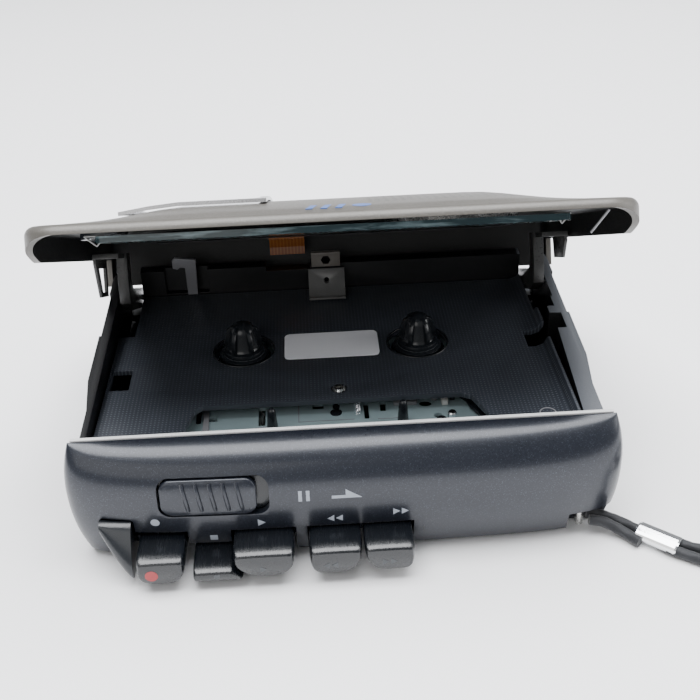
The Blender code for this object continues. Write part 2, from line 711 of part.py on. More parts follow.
def pause_slider():
    """A slab that follows the panel's curve inside its slot."""
    columns, rows = 8, 6
    x, z = (-38.8, -18.8), (14.4, 22.4)
    bm = bmesh.new()
    layers = []
    for offset in (0.25, -1.2):
        grid = []
        for i in range(columns + 1):
            px = x[0] + (x[1] - x[0]) * i / columns
            heights = [z[0] + (z[1] - z[0]) * j / rows for j in range(rows + 1)]
            grid.append([bm.verts.new(panel_point(px, pz, offset)) for pz in heights])
        layers.append(grid)
    close_layers(bm, *layers)
    make_object("pause_slider", bm, charcoal())


def volume_wheel():
    teeth = 24
    outline = []
    for k in range(2 * teeth):
        radius = 7.0 if k % 2 else 6.7
        angle = math.tau * k / (2 * teeth)
        outline.append((radius * math.cos(angle), radius * math.sin(angle)))
    axle = empty("volume_axis", (-49.4, 0.0, 0.0))
    make_object("volume_wheel", mesh((add_prism, outline, 7.0, 9.0)), black_plastic(), axle)


def earphone_jack():
    body = [(2.8, 44.0), (2.8, 55.0)]
    sleeve = mesh((add_turned, body, (HUB_Y, 10.0), 16, "X"))
    jack = make_object("earphone_jack", sleeve, black_plastic())
    cut(jack, mesh((add_turned, [(1.75, 46.0), (1.75, 60.0)], (HUB_Y, 10.0), 12, "X")))


# ---------------------------------------------------------------- lid


def lid_top(x, v):
    """Height of the lid's crowned outer face above the hinge axis."""
    along = min(abs(v - LID_MIDDLE) / (LID_REAR - LID_MIDDLE), 1.0)
    share = min(max((0.95 - abs(x) / LID_HALF_WIDTH) / 0.45, 0.0), 1.0)
    return LID_EDGE_TOP + LID_CROWN * share**2 * (3.0 - 2.0 * share) * (1.0 - along**2)


def lid_skirt(v):
    """Height of the skirt's lower edge: highest at the lip, lowest behind the hinge."""
    if v > -1.5:
        return HINGE_SKIRT_BOTTOM
    share = max((LIP_START - v) / (LIP_START - LID_FRONT), 0.0)
    return SKIRT_BOTTOM + (LIP_BOTTOM - SKIRT_BOTTOM) * share**1.3


def lid_outline(inset):
    """The lid's outline drawn in by the inset, with the same number of points for any inset."""
    radii = [radius - inset for radius in (8.0, 8.0, 4.0, 4.0)]
    wide = LID_HALF_WIDTH - inset
    corners = rounded_rectangle((-wide, wide), (LID_FRONT + inset, LID_REAR - inset), radii, 5)
    points = []
    for k, (x, v) in enumerate(corners):
        nx, nv = corners[(k + 1) % len(corners)]
        points.append((x, v))
        if math.hypot(nx - x, nv - v) < 20.0:
            continue
        if abs(nx - x) > abs(nv - v):
            points += [(x + (nx - x) * share, v) for share in (0.15, 0.3, 0.5, 0.7, 0.85)]
        else:
            stops = [(x, stop) for stop in (-77.0, -74.0, -60.0, -42.0, -24.0, -1.6, -1.4)]
            points += stops if nv > v else stops[::-1]
    return points


def lid_rings(wall):
    """Rings from the skirt's edge up to the crown: the outer face, or the lining behind the wall."""
    rings = [[(x, v, lid_skirt(outer)) for (x, v), (_, outer) in zip(lid_outline(wall), lid_outline(0.0))]]
    radius = LID_EDGE_RADIUS - wall
    for k in range(4):
        angle = math.pi / 2 * k / 3
        ring = lid_outline(wall + radius * (1.0 - math.cos(angle)))
        height = LID_EDGE_TOP - LID_EDGE_RADIUS + radius * math.sin(angle)
        rings.append([(x, v, height) for x, v in ring])
    for share in (0.89, 0.78, 0.66, 0.54, 0.42, 0.2):
        ring = [(x * share, LID_MIDDLE + (v - LID_MIDDLE) * share) for x, v in lid_outline(LID_EDGE_RADIUS)]
        rings.append([(x, v, lid_top(x, v) - wall) for x, v in ring])
    return rings


def lid_shell(axis):
    bm = bmesh.new()
    edges = []
    for wall in (0.0, LID_WALL):
        loops = [[bm.verts.new(p) for p in ring] for ring in lid_rings(wall)]
        top = bm.verts.new((0.0, LID_MIDDLE, lid_top(0.0, LID_MIDDLE) - wall))
        count = len(loops[0])
        for low, high in zip(loops, loops[1:]):
            for i in range(count):
                j = (i + 1) % count
                bm.faces.new((low[i], low[j], high[j], high[i]))
        for i in range(count):
            bm.faces.new((loops[-1][i], loops[-1][(i + 1) % count], top))
        edges.append(loops[0])
    outer, inner = edges
    for i in range(len(outer)):
        j = (i + 1) % len(outer)
        bm.faces.new((outer[i], outer[j], inner[j], inner[i]))
    shell = make_object("lid_shell", bm, lid_grey(), axis)
    window = rounded_rectangle((-43.0, -15.0), (-67.0, -31.0), (0.4,) * 4, 1)
    counter = rounded_rectangle((-55.2, -46.8), (-58.0, -42.0), (0.3,) * 4, 1)
    button = circle((-51.0, -34.0), 2.3, 14)
    cut(shell, mesh(*[(add_prism, o, 12.0, 26.0) for o in (window, counter, button)]))


def add_lid_patch(bm, x, v, low, high, columns=5, rows=6):
    """A plate that follows the lid's crown, between two offsets from its outer face."""
    layers = []
    for offset in (high, low):
        grid = []
        for i in range(columns + 1):
            px = x[0] + (x[1] - x[0]) * i / columns
            stops = [v[0] + (v[1] - v[0]) * j / rows for j in range(rows + 1)]
            grid.append([bm.verts.new((px, pv, lid_top(px, pv) + offset)) for pv in stops])
        layers.append(grid)
    close_layers(bm, *layers)


def lid_glazing(axis):
    pane = mesh((add_lid_patch, (-42.7, -15.3), (-66.7, -31.3), -1.3, 0.0))
    make_object("lid_window", pane, clear_plastic(), axis)
    frame = mesh((add_lid_patch, (-44.4, -13.6), (-68.4, -29.6), 0.4, 1.2))
    trim = make_object("window_trim", frame, bright_metal(), axis)
    hole = rounded_rectangle((-42.9, -15.1), (-66.9, -31.1), (2.0,) * 4, 2)
    cut(trim, mesh((add_prism, hole, 12.0, 26.0)))


def tape_counter(axis):
    block = mesh((add_lid_patch, (-54.9, -47.1), (-57.7, -42.3), -2.8, 0.5, 1, 1))
    make_object("tape_counter", block, black_plastic(), axis)
    button = empty("counter_button_axis", (-51.0, -34.0, 0.0), axis)
    top = lid_top(-51.0, -34.0)
    profile = [(2.0, top - 3.0), (2.0, top + 0.3), (1.6, top + 0.7)]
    make_object("counter_button", mesh((add_turned, profile, (0.0, 0.0), 14)), black_plastic(), button)


def lid_lining(axis):
    bar = rounded_rectangle((-46.4, 46.4), (-84.0, -71.0), (1.0,) * 4, 2)
    make_object("lid_crossbar", mesh((add_prism, bar, 13.6, 14.9)), clear_plastic(), axis)
    liner = rounded_rectangle((-44.0, 44.0), (-66.0, -9.0), (2.0,) * 4, 2)
    sheet = make_object("lid_liner", mesh((add_prism, liner, 14.2, 15.0)), grey_plastic(), axis)
    cut(sheet, mesh((add_box, (-42.0, -16.0), (-66.5, -32.0), (13.0, 16.0))))
    cone = [(15.6, 15.3), (15.6, 16.6), (12.0, 17.6), (7.5, 18.0)]
    make_object("speaker", mesh((add_turned, cone, (28.0, -42.0), 28)), steel(), axis)


def lid_arm(side, axis):
    """A hooked arm that runs down to the hinge pin, with an open frame hung outside it."""
    name = "lid_arm_right" if side > 0 else "lid_arm_left"
    hook = [(-24.0, 12.0), (-24.0, 4.0), (-22.6, -0.8), (-18.0, -2.6), (-6.0, -2.6)]
    for k in range(7):
        angle = math.radians(-90 + 180 * k / 6)
        hook.append((2.6 * math.cos(angle), 2.6 * math.sin(angle)))
    hook += [(-8.0, 2.2), (-17.0, 3.0), (-19.4, 5.2), (-19.6, 12.0)]
    inner = sorted((side * 51.2, side * 53.8))
    arm = make_object(name, mesh((add_prism, hook, *inner, "X")), grey_plastic(), axis)
    shelf = sorted((side * 51.8, side * 58.1))
    join(arm, mesh((add_box, shelf, (-32.0, -17.6), (10.7, 11.9))))
    ear = sorted((side * 57.35, side * 58.1))
    if side < 0:
        plate = [(-31.6, 11.4), (-31.6, 9.6), (-26.6, 1.2), (-18.4, 1.2), (-18.4, 11.4)]
        join(arm, mesh((add_prism, plate, *ear, "X")))
        window = [(-28.0, 8.4), (-25.0, 2.4), (-20.0, 2.4), (-20.0, 8.4)]
        cut(arm, mesh((add_prism, window, *sorted((side * 56.0, side * 60.0)), "X")))
    else:
        plate = [(-31.6, 11.4), (-31.6, 9.6), (-28.4, 5.4), (-19.6, 5.4), (-18.4, 11.4)]
        join(arm, mesh((add_prism, plate, *ear, "X")))
    bore = [(1.1, v) for v in sorted((side * 50.0, side * 55.0))]
    cut(arm, mesh((add_turned, bore, (0.0, 0.0), 12, "X")))


def hinge_pins():
    for name, side in (("hinge_pin_left", -1), ("hinge_pin_right", 1)):
        pin = [(0.8, x) for x in sorted((side * 45.2, side * 54.4))]
        make_object(name, mesh((add_turned, pin, (HINGE_Y, HINGE_Z), 12, "X")), steel())


def flat_cable(axis):
    """The flexible ribbon that crosses the hinge to the lid."""
    ribbon = [(-9.6, 13.7), (-6.0, 13.6), (-4.9, 11.6), (-4.5, 9.6)]
    ribbon += [(-4.0, 9.6), (-4.4, 11.9), (-5.6, 14.1), (-9.6, 14.1)]
    amber = material("ribbon_amber", (0.45, 0.16, 0.02), 0.25)
    make_object("flat_cable", mesh((add_prism, ribbon, -16.2, -6.8, "X")), amber, axis)


def lid():
    axis = empty("lid_axis", (0.0, HINGE_Y, HINGE_Z))
    axis.rotation_euler.x = -math.radians(LID_OPEN_DEG)
    lid_shell(axis)
    lid_glazing(axis)
    tape_counter(axis)
    lid_lining(axis)
    for side in (-1, 1):
        lid_arm(side, axis)
    flat_cable(axis)


# ---------------------------------------------------------------- strap


def smooth_route(points, spacing=6.0):
    """Points at even spacing along a smooth curve through the given ones."""
    path = [Vector(p) for p in points]
    path = [2 * path[0] - path[1]] + path + [2 * path[-1] - path[-2]]
    fine = []
    for k in range(1, len(path) - 2):
        p0, p1, p2, p3 = path[k - 1 : k + 3]
        for step in range(24):
            t = step / 24
            a = 2 * p1 + (p2 - p0) * t
            b = (2 * p0 - 5 * p1 + 4 * p2 - p3) * t**2
            c = (3 * p1 - p0 - 3 * p2 + p3) * t**3
            fine.append(0.5 * (a + b + c))
    fine.append(path[-2])
    total = sum((b - a).length for a, b in zip(fine, fine[1:]))
    count = max(round(total / spacing), 2)
    route, travelled, wanted = [fine[0]], 0.0, total / count
    for a, b in zip(fine, fine[1:]):
        travelled += (b - a).length
        if travelled >= wanted * len(route) and len(route) < count:
            route.append(b)
    return route + [fine[-1]]


def cord_tube(name, points):
    curve = bpy.data.curves.new(name, "CURVE")
    curve.dimensions = "3D"
    curve.bevel_depth = STRAP_DIAMETER / 2 * MM
    curve.bevel_resolution = 2
    curve.use_fill_caps = True
    spline = curve.splines.new("POLY")
    route = smooth_route(points)
    spline.points.add(len(route) - 1)
    for point, place in zip(spline.points, route):
        point.co = (*(MM * place), 1.0)
    curve.materials.append(cord_black())
    obj = bpy.data.objects.new(name, curve)
    bpy.context.scene.collection.objects.link(obj)


def strap():
    """The post in the case's corner, and the wrist strap with its length wound into a flat ring."""
    post = [(1.0, 0.9), (1.0, 6.2)]
    make_object("strap_post", mesh((add_turned, post, (51.0, -37.0), 12)), steel())
    bridle = [(52.6, -37.2, 3.4), (56.0, -37.6, 3.0), (59.6, -39.0, 2.1), (62.6, -41.3, 1.7)]
    cord_tube("strap_bridle", bridle)
    start, end = Vector((62.9, -41.5, 1.7)), Vector((70.2, -47.6, 1.7))
    length = (end - start).length
    sleeve = mesh((add_turned, [(1.5, 0.0), (1.6, 0.4), (1.6, length - 0.4), (1.5, length)]))
    bmesh.ops.scale(sleeve, vec=(FERRULE_SPREAD, 1.0, 1.0), verts=sleeve.verts)
    turn = (end - start).to_track_quat("Z", "Y").to_matrix()
    bmesh.ops.rotate(sleeve, verts=sleeve.verts, matrix=turn)
    bmesh.ops.translate(sleeve, verts=sleeve.verts, vec=start)
    make_object("strap_ferrule", sleeve, bright_metal())
    lead = [(69.6, -48.9), (75.6, -52.4), (84.8, -55.6), (96.2, -57.8)]
    back = [(85.3, -31.0), (82.4, -38.0), (81.0, -44.0), (77.8, -48.0), (74.4, -48.2), (71.8, -46.9)]
    for name, route in (("strap_lead", lead), ("strap_return", back)):
        cord_tube(name, [(x, y, STRAP_LIFT) for x, y in route])
    bm = bmesh.new()
    outer = circle(COIL_CENTRE, COIL_RADIUS + COIL_WIDTH / 2, 32)
    inner = circle(COIL_CENTRE, COIL_RADIUS - COIL_WIDTH / 2, 32)
    add_band(bm, outer, inner, COIL_LOW, COIL_HIGH)
    make_object("strap_coil", bm, cord_black())


def build():
    clear_scene()
    bottom_case()
    battery_door()
    middle_frame()
    front_panel()
    trim_strip()
    key_guard()
    deck_plate()
    reflector_strip()
    deck_screw()
    chassis_plate()
    guide_pins()
    rear_springs()
    head_return_spring()
    safety_lever()
    heads()
    pinch_roller()
    flywheel()
    motor()
    drive_belt()
    circuit_board()
    battery_spring()
    spindle("supply", SUPPLY_X)
    spindle("takeup", TAKEUP_X)
    idler_gear()
    keys()
    pause_slider()
    volume_wheel()
    earphone_jack()
    lid()
    hinge_pins()
    strap()


build()
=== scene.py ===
"""The looks of the cassette dictation machine: camera, light, strap, materials and fine pieces.

Lengths are in millimetres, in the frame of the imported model, and become metres when a mesh is made.
X runs along the long side, -Y points to the keys and +Z points up.
"""

import json
import math

import bmesh
import bpy
from mathutils import Matrix, Vector

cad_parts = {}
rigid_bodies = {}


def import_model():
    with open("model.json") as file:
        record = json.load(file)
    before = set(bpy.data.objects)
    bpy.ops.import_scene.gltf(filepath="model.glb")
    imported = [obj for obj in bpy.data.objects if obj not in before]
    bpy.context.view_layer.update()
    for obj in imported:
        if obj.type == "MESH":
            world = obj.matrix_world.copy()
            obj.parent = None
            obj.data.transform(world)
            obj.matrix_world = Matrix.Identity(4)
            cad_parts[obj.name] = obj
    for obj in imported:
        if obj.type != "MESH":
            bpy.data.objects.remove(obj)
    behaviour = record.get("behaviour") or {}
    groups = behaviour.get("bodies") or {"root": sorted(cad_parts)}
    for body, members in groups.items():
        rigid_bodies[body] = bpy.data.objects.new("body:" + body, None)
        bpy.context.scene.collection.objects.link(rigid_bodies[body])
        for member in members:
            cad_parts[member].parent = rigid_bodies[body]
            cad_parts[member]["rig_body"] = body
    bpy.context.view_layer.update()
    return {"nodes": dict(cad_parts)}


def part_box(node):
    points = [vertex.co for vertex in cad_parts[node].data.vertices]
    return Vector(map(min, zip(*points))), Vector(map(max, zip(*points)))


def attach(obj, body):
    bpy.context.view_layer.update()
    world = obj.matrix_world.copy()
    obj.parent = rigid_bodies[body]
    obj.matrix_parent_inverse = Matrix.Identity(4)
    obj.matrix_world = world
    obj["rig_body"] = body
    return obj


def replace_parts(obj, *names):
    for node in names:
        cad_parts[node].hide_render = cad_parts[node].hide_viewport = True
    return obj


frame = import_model()

MM = 0.001
RIM_EDGE_Y = -34.0
RIM_EDGE_Z = 28.0
PANEL_HALF_WIDTH = 59.3
PANEL_WIDEST_Z = 17.0
PANEL_DEPTH = 9.5
PANEL_BELLY_Z = 15.0
PANEL_WALL = 1.6
PANEL_BOTTOM = 0.5
PANEL_BOW = 3.5
PANEL_TAPER = 2.2
PANEL_RIM_DRAW = 1.7
PANEL_BASE_DRAW = 3.0
PANEL_BASE_SHALLOWER = 3.5
PANEL_TOP_CURVE = 2.6
PANEL_FRONT_CURVE = 1.8
KEY_WINDOW = [
    (-48.6, -1.0), (-11.1, -1.0), (-11.1, 9.6), (-24.9, 9.6), (-24.9, 5.6), (-33.9, 5.6), (-33.9, 9.6),
    (-45.0, 9.6), (-45.0, 12.6), (-45.8, 13.3), (-51.6, 13.3), (-52.5, 12.4), (-52.3, 10.0),
]
WIND_KEY_WINDOW = [(-8.8, -1.0), (13.9, -1.0), (13.9, 9.6), (-8.8, 9.6)]
STRAP_NOTCH = [(47.63, -3.0), (70.0, -3.0), (70.0, 6.7), (47.63, 6.7)]
PRINT_SINK = -0.15
PRINT_PROUD = 0.035
KEY_FRONT_Y = -50.5
KEY_ROLL = 3.4
KEY_INSET = 0.7
KEY_DROP = 0.30

DECK_Z = 22.6
DECK_GRID_PITCH = 0.85
CHASSIS_Z = 18.2
RECESS_LIP_RADIUS = 7.45

HINGE = (0.0, 42.5, 20.0)
LID_TILT = math.radians(26.5)
LID_FRONT = -87.0
LID_REAR = 3.2
LID_MIDDLE = (LID_FRONT + LID_REAR) / 2
LID_HALF_WIDTH = 60.8
LID_EDGE_TOP = 17.5
LID_EDGE_RADIUS = 2.0
LID_CROWN = 4.3
LID_WALL = 1.4
LID_CORNER_RADII = (8.0, 8.0, 4.0, 4.0)
LID_SIDE_STOPS = (-78.0, -77.0, -76.0, -75.0, -74.0, -60.0, -42.0, -24.0, -1.6, -1.4)
LID_PRINT_SINK = -0.1
LID_PRINT_PROUD = 0.04
LIP_BOTTOM = 15.6
LIP_START = -74.0
SKIRT_BOTTOM = 10.4
HINGE_SKIRT_BOTTOM = 3.2
HINGE_SKIRT_START = -1.5
GRILLE_PITCH = 1.7
GRILLE_HOLE_SHARE = 0.075
GRILLE_REACH = (("X", 28.0, 21.0), ("Y", -43.0, 33.0))

STRAP_DIAMETER = 2.4
STRAP_LIFT = 1.3
STRAP_SPACING = 0.45
COIL_CENTRE = (101.0, -40.0)
STRAP_LOOP = [
    (52.6, -39.4, 3.5), (55.6, -39.9, 3.1), (58.4, -41.2, 2.2), (60.6, -43.0, 1.6), (62.4, -45.2, 1.5),
]
FLOOR_REACH = 3000.0


# ---------------------------------------------------------------- camera and light


def add_object(name, data):
    obj = bpy.data.objects.new(name, data)
    bpy.context.scene.collection.objects.link(obj)
    return obj


def place(name, data, at, turn=(0.0, 0.0, 0.0)):
    obj = add_object(name, data)
    obj.location = [MM * c for c in at]
    obj.rotation_euler = [math.radians(a) for a in turn]
    return obj


def camera():
    data = bpy.data.cameras.new("camera")
    data.lens = 53.37
    data.clip_start = 0.01
    data.dof.use_dof = False
    bpy.context.scene.camera = place("camera", data, (-4.02, -209.48, 156.49), (58.04, 1.72, -2.99))


def softbox(name, at, aim, size, watts, colour=(1.0, 1.0, 1.0)):
    data = bpy.data.lights.new(name, "AREA")
    data.shape = "RECTANGLE"
    data.size, data.size_y = size
    data.energy = watts
    data.color = colour
    lamp = place(name, data, at)
    heading = Vector(aim) - Vector(at)
    lamp.rotation_euler = heading.to_track_quat("-Z", "Y").to_euler()


def lights():
    softbox("overhead", (-40, 110, 860), (0, -10, 10), (1.05, 0.75), 30.0, (0.97, 0.98, 1.0))
    softbox("front_fill", (-320, -560, 420), (0, -20, 20), (0.60, 0.45), 1.3, (1.0, 0.98, 0.95))
    softbox("right_rim", (560, -40, 300), (20, 0, 20), (0.45, 0.40), 2.0)
    world = bpy.data.worlds.new("studio")
    world.use_nodes = True
    background = world.node_tree.nodes["Background"]
    background.inputs["Color"].default_value = (0.95, 0.97, 1.0, 1.0)
    background.inputs["Strength"].default_value = 0.42
    bpy.context.scene.world = world


# ---------------------------------------------------------------- materials


def node(tree, kind, values=None, **settings):
    """Adds a shader node; a value that is a socket is linked, any other is set."""
    made = tree.nodes.new(kind)
    for key, value in settings.items():
        setattr(made, key, value)
    for key, value in (values or {}).items():
        if isinstance(value, bpy.types.NodeSocket):
            tree.links.new(value, made.inputs[key])
        else:
            made.inputs[key].default_value = value
    return made


def maths(tree, operation, a, b=0.0):
    return node(tree, "ShaderNodeMath", {0: a, 1: b}, operation=operation).outputs[0]


def spread(tree, value, low, high):
    """Maps 0..1 onto a range."""
    return node(
        tree, "ShaderNodeMapRange", {"Value": value, "To Min": low, "To Max": high}
    ).outputs["Result"]


def blend_colours(tree, share, first, second):
    mix = node(tree, "ShaderNodeMix", {0: share}, data_type="RGBA")
    for index, colour in ((6, first), (7, second)):
        if isinstance(colour, bpy.types.NodeSocket):
            tree.links.new(colour, mix.inputs[index])
        else:
            mix.inputs[index].default_value = (*colour, 1.0)
    return mix.outputs[2]


def object_coords(tree, stretch=(1.0, 1.0, 1.0), turn=(0.0, 0.0, 0.0)):
    coords = node(tree, "ShaderNodeTexCoord").outputs["Object"]
    return node(
        tree, "ShaderNodeMapping", {"Vector": coords, "Rotation": turn, "Scale": stretch}
    ).outputs["Vector"]


def noise(tree, coords, scale, detail=3.0, roughness=0.55):
    values = {"Vector": coords, "Scale": scale, "Detail": detail, "Roughness": roughness}
    return node(tree, "ShaderNodeTexNoise", values).outputs["Fac"]


class Surface:
    """A Principled material whose tone, roughness and relief all vary over the surface."""

    def __init__(self, name, colour, roughness, metallic=0.0, stretch=(1.0, 1.0, 1.0), tone=0.14,
                 tone_scale=160.0, grain=0.25, grain_scale=2600.0, relief=0.03, **sockets):
        self.material = bpy.data.materials.new(name)
        self.material.use_nodes = True
        self.tree = self.material.node_tree
        self.shader = self.tree.nodes["Principled BSDF"]
        self.shader.inputs["Metallic"].default_value = metallic
        for key, value in sockets.items():
            self.shader.inputs[key.replace("_", " ")].default_value = value
        self.coords = object_coords(self.tree, stretch)
        broad = noise(self.tree, self.coords, tone_scale, 4.0)
        dark = [c * (1.0 - tone) for c in colour]
        light = [c * (1.0 + tone) for c in colour]
        self.colour = blend_colours(self.tree, broad, dark, light)
        self.grain = noise(self.tree, self.coords, grain_scale, 2.0)
        self.height = self.grain
        self.relief = relief
        rough = spread(self.tree, self.grain, roughness * (1.0 - grain), min(roughness * (1.0 + grain), 1.0))
        smudge = noise(self.tree, self.coords, tone_scale * 0.5, 5.0)
        self.rough = maths(self.tree, "MULTIPLY", rough, spread(self.tree, smudge, 0.88, 1.12))

    def paint(self, share, colour):
        """Lays another colour over this one by a mask."""
        self.colour = blend_colours(self.tree, share, self.colour, colour)

    def done(self):
        links = self.tree.links
        links.new(self.colour, self.shader.inputs["Base Color"])
        links.new(self.rough, self.shader.inputs["Roughness"])
        values = {"Height": self.height, "Strength": 1.0, "Distance": self.relief * MM}
        bump = node(self.tree, "ShaderNodeBump", values)
        links.new(bump.outputs["Normal"], self.shader.inputs["Normal"])
        return self.material


def flaked(name, colour, flake, roughness, metallic, share, **more):
    """Metallic paint: fine flakes that catch the light one by one."""
    made = Surface(name, colour, roughness, metallic, **more)
    flakes = node(made.tree, "ShaderNodeTexVoronoi", {"Vector": made.coords, "Scale": 6500.0})
    spark = node(made.tree, "ShaderNodeSeparateColor", {"Color": flakes.outputs["Color"]}).outputs["Red"]
    made.paint(spread(made.tree, maths(made.tree, "POWER", spark, 10.0), 0.0, share), flake)
    return made


def charcoal_paint():
    return flaked("charcoal_paint", (0.0095, 0.012, 0.019), (0.085, 0.095, 0.125), 0.31, 0.30, 0.35,
                  tone=0.10, relief=0.006, Coat_Weight=0.3, Coat_Roughness=0.16).done()


def gloss_black():
    return Surface("gloss_black", (0.010, 0.012, 0.015), 0.22, tone=0.25, relief=0.015, grain=0.3).done()


def brushed_black():
    """Key caps: fine streaks that run from front to back catch the light."""
    made = Surface("key_black", (0.0035, 0.0046, 0.0065), 0.25, 0.0, stretch=(1.0, 0.04, 1.0), tone=0.3,
                   grain=0.5, grain_scale=4200.0, relief=0.03, Coat_Weight=0.3, Coat_Roughness=0.2)
    return made.done()


def satin(name, colour, roughness=0.5, **more):
    return Surface(name, colour, roughness, **more).done()


def deck_black():
    """Black moulding with a fine embossed grid; the grid's ridges carry a painted highlight."""
    made = Surface("deck_black", (0.031, 0.036, 0.046), 0.34, tone=0.15, relief=0.10)
    tree = made.tree
    parts = node(tree, "ShaderNodeSeparateXYZ", {"Vector": made.coords}).outputs
    turns = math.tau / (DECK_GRID_PITCH * MM)
    waves = [maths(tree, "SINE", maths(tree, "MULTIPLY", parts[axis], turns)) for axis in "XY"]
    grid = spread(tree, maths(tree, "MINIMUM", *waves), 0.35, 0.75)
    made.height = grid
    # The ridges are painted a lighter blue grey: a painted highlight standing in for the light the embossing
    # catches.
    made.paint(spread(tree, grid, -0.40, 0.80), (0.160, 0.175, 0.205))
    return made.done()


def frame_grey():
    """The inner walls are painted nearly black as painted shade, the outer ones dark grey, and the right
    wall's upward faces mid grey as painted light.
    """
    made = Surface("frame_grey", (0.0030, 0.0032, 0.0042), 0.40, tone=0.15, relief=0.03)
    tree = made.tree
    normal = node(tree, "ShaderNodeTexCoord").outputs["Normal"]
    facing = node(tree, "ShaderNodeSeparateXYZ", {"Vector": normal}).outputs
    across = node(tree, "ShaderNodeSeparateXYZ", {"Vector": made.coords}).outputs["X"]
    outwards = maths(tree, "MULTIPLY", across, facing["X"])
    # The near-black base is painted shade on the inward faces; faces turned outwards get the walls' dark
    # grey.
    made.paint(maths(tree, "GREATER_THAN", outwards, 0.030), (0.030, 0.033, 0.038))
    top = maths(tree, "GREATER_THAN", facing["Z"], 0.6)
    right = maths(tree, "GREATER_THAN", across, 0.050)
    # Upward faces on the right are painted mid grey: painted light on the lit top of the right wall.
    made.paint(maths(tree, "MULTIPLY", top, right), (0.100, 0.108, 0.122))
    return made.done()


def lid_coords(tree):
    """Coordinates in metres from the hinge axis, flat along the lid."""
    coords = node(tree, "ShaderNodeTexCoord").outputs["Object"]
    start = -(Matrix.Rotation(LID_TILT, 3, "X") @ Vector(HINGE)) * MM
    values = {"Vector": coords, "Location": start, "Rotation": (LID_TILT, 0.0, 0.0)}
    return node(tree, "ShaderNodeMapping", values).outputs["Vector"]


def lid_outer_paint():
    """Warm grey paint, with the speaker's rows of fine holes over the right half."""
    made = flaked("lid_paint", (0.088, 0.082, 0.073), (0.18, 0.169, 0.15), 0.42, 0.15, 0.4,
                  tone=0.08, relief=0.10)
    tree = made.tree
    flat = node(tree, "ShaderNodeSeparateXYZ", {"Vector": lid_coords(tree)}).outputs
    pitch = GRILLE_PITCH * MM
    squares = []
    for axis in "XY":
        cell = maths(tree, "FRACT", maths(tree, "DIVIDE", flat[axis], pitch))
        squares.append(maths(tree, "POWER", maths(tree, "SUBTRACT", cell, 0.5), 2.0))
    hole = maths(tree, "LESS_THAN", maths(tree, "ADD", *squares), GRILLE_HOLE_SHARE)
    for axis, middle, half in GRILLE_REACH:
        reach = maths(tree, "ABSOLUTE", maths(tree, "SUBTRACT", flat[axis], middle * MM))
        hole = maths(tree, "MULTIPLY", hole, maths(tree, "LESS_THAN", reach, half * MM))
    above = maths(tree, "GREATER_THAN", flat["Z"], (LID_EDGE_TOP - 0.4) * MM)
    hole = maths(tree, "MULTIPLY", hole, above)
    made.paint(maths(tree, "MULTIPLY", hole, 0.85), (0.030, 0.029, 0.027))
    made.height = maths(tree, "SUBTRACT", spread(tree, made.grain, 0.7, 1.0), hole)
    return made.done()


def metal(name, colour=(0.62, 0.62, 0.60), roughness=0.28, stretch=(1.0, 0.04, 1.0)):
    return Surface(name, colour, roughness, 1.0, stretch, tone=0.12, grain=0.4, relief=0.02).done()


def teal_paint():
    made = Surface("chassis_teal", (0.30, 0.39, 0.41), 0.34, 0.1, tone=0.08, relief=0.02)
    stain = noise(made.tree, made.coords, 420.0, 6.0)
    made.paint(spread(made.tree, maths(made.tree, "POWER", stain, 5.0), 0.0, 0.6), (0.16, 0.21, 0.22))
    return made.done()


def crossbar_gloss():
    """Glossy dark strip with pale smears along it."""
    made = Surface("crossbar_gloss", (0.008, 0.022, 0.026), 0.10, tone=0.3, relief=0.006)
    smears = noise(made.tree, object_coords(made.tree, (0.18, 1.0, 2.0)), 520.0, 5.0, 0.6)
    mask = node(made.tree, "ShaderNodeValToRGB", {"Fac": smears})
    mask.color_ramp.elements[0].position = 0.50
    mask.color_ramp.elements[1].position = 0.72
    made.paint(maths(made.tree, "MULTIPLY", mask.outputs["Color"], 0.6), (0.22, 0.30, 0.32))
    return made.done()


def amber_film():
    made = Surface("ribbon_amber", (0.23, 0.066, 0.006), 0.22, tone=0.2, relief=0.02, Coat_Weight=0.4)
    tree = made.tree
    across = node(tree, "ShaderNodeSeparateXYZ", {"Vector": made.coords}).outputs["X"]
    wave = maths(tree, "SINE", maths(tree, "MULTIPLY", across, math.tau / (0.9 * MM)))
    made.paint(spread(tree, wave, 0.0, 0.30), (0.50, 0.20, 0.03))
    return made.done()


def board_green():
    made = Surface("board_green", (0.020, 0.095, 0.045), 0.35, tone=0.2, relief=0.03)
    brick = node(made.tree, "ShaderNodeTexBrick", {"Vector": made.coords, "Scale": 260.0})
    made.paint(maths(made.tree, "MULTIPLY", brick.outputs["Fac"], 0.6), (0.05, 0.20, 0.09))
    return made.done()


def braid_black():
    made = Surface("strap_braid", (0.010, 0.011, 0.014), 0.62, tone=0.35, tone_scale=900.0,
                   grain=0.2, grain_scale=5200.0, relief=0.08, Sheen_Weight=0.25, Sheen_Roughness=0.4)
    return made.done()


MATERIALS = {}


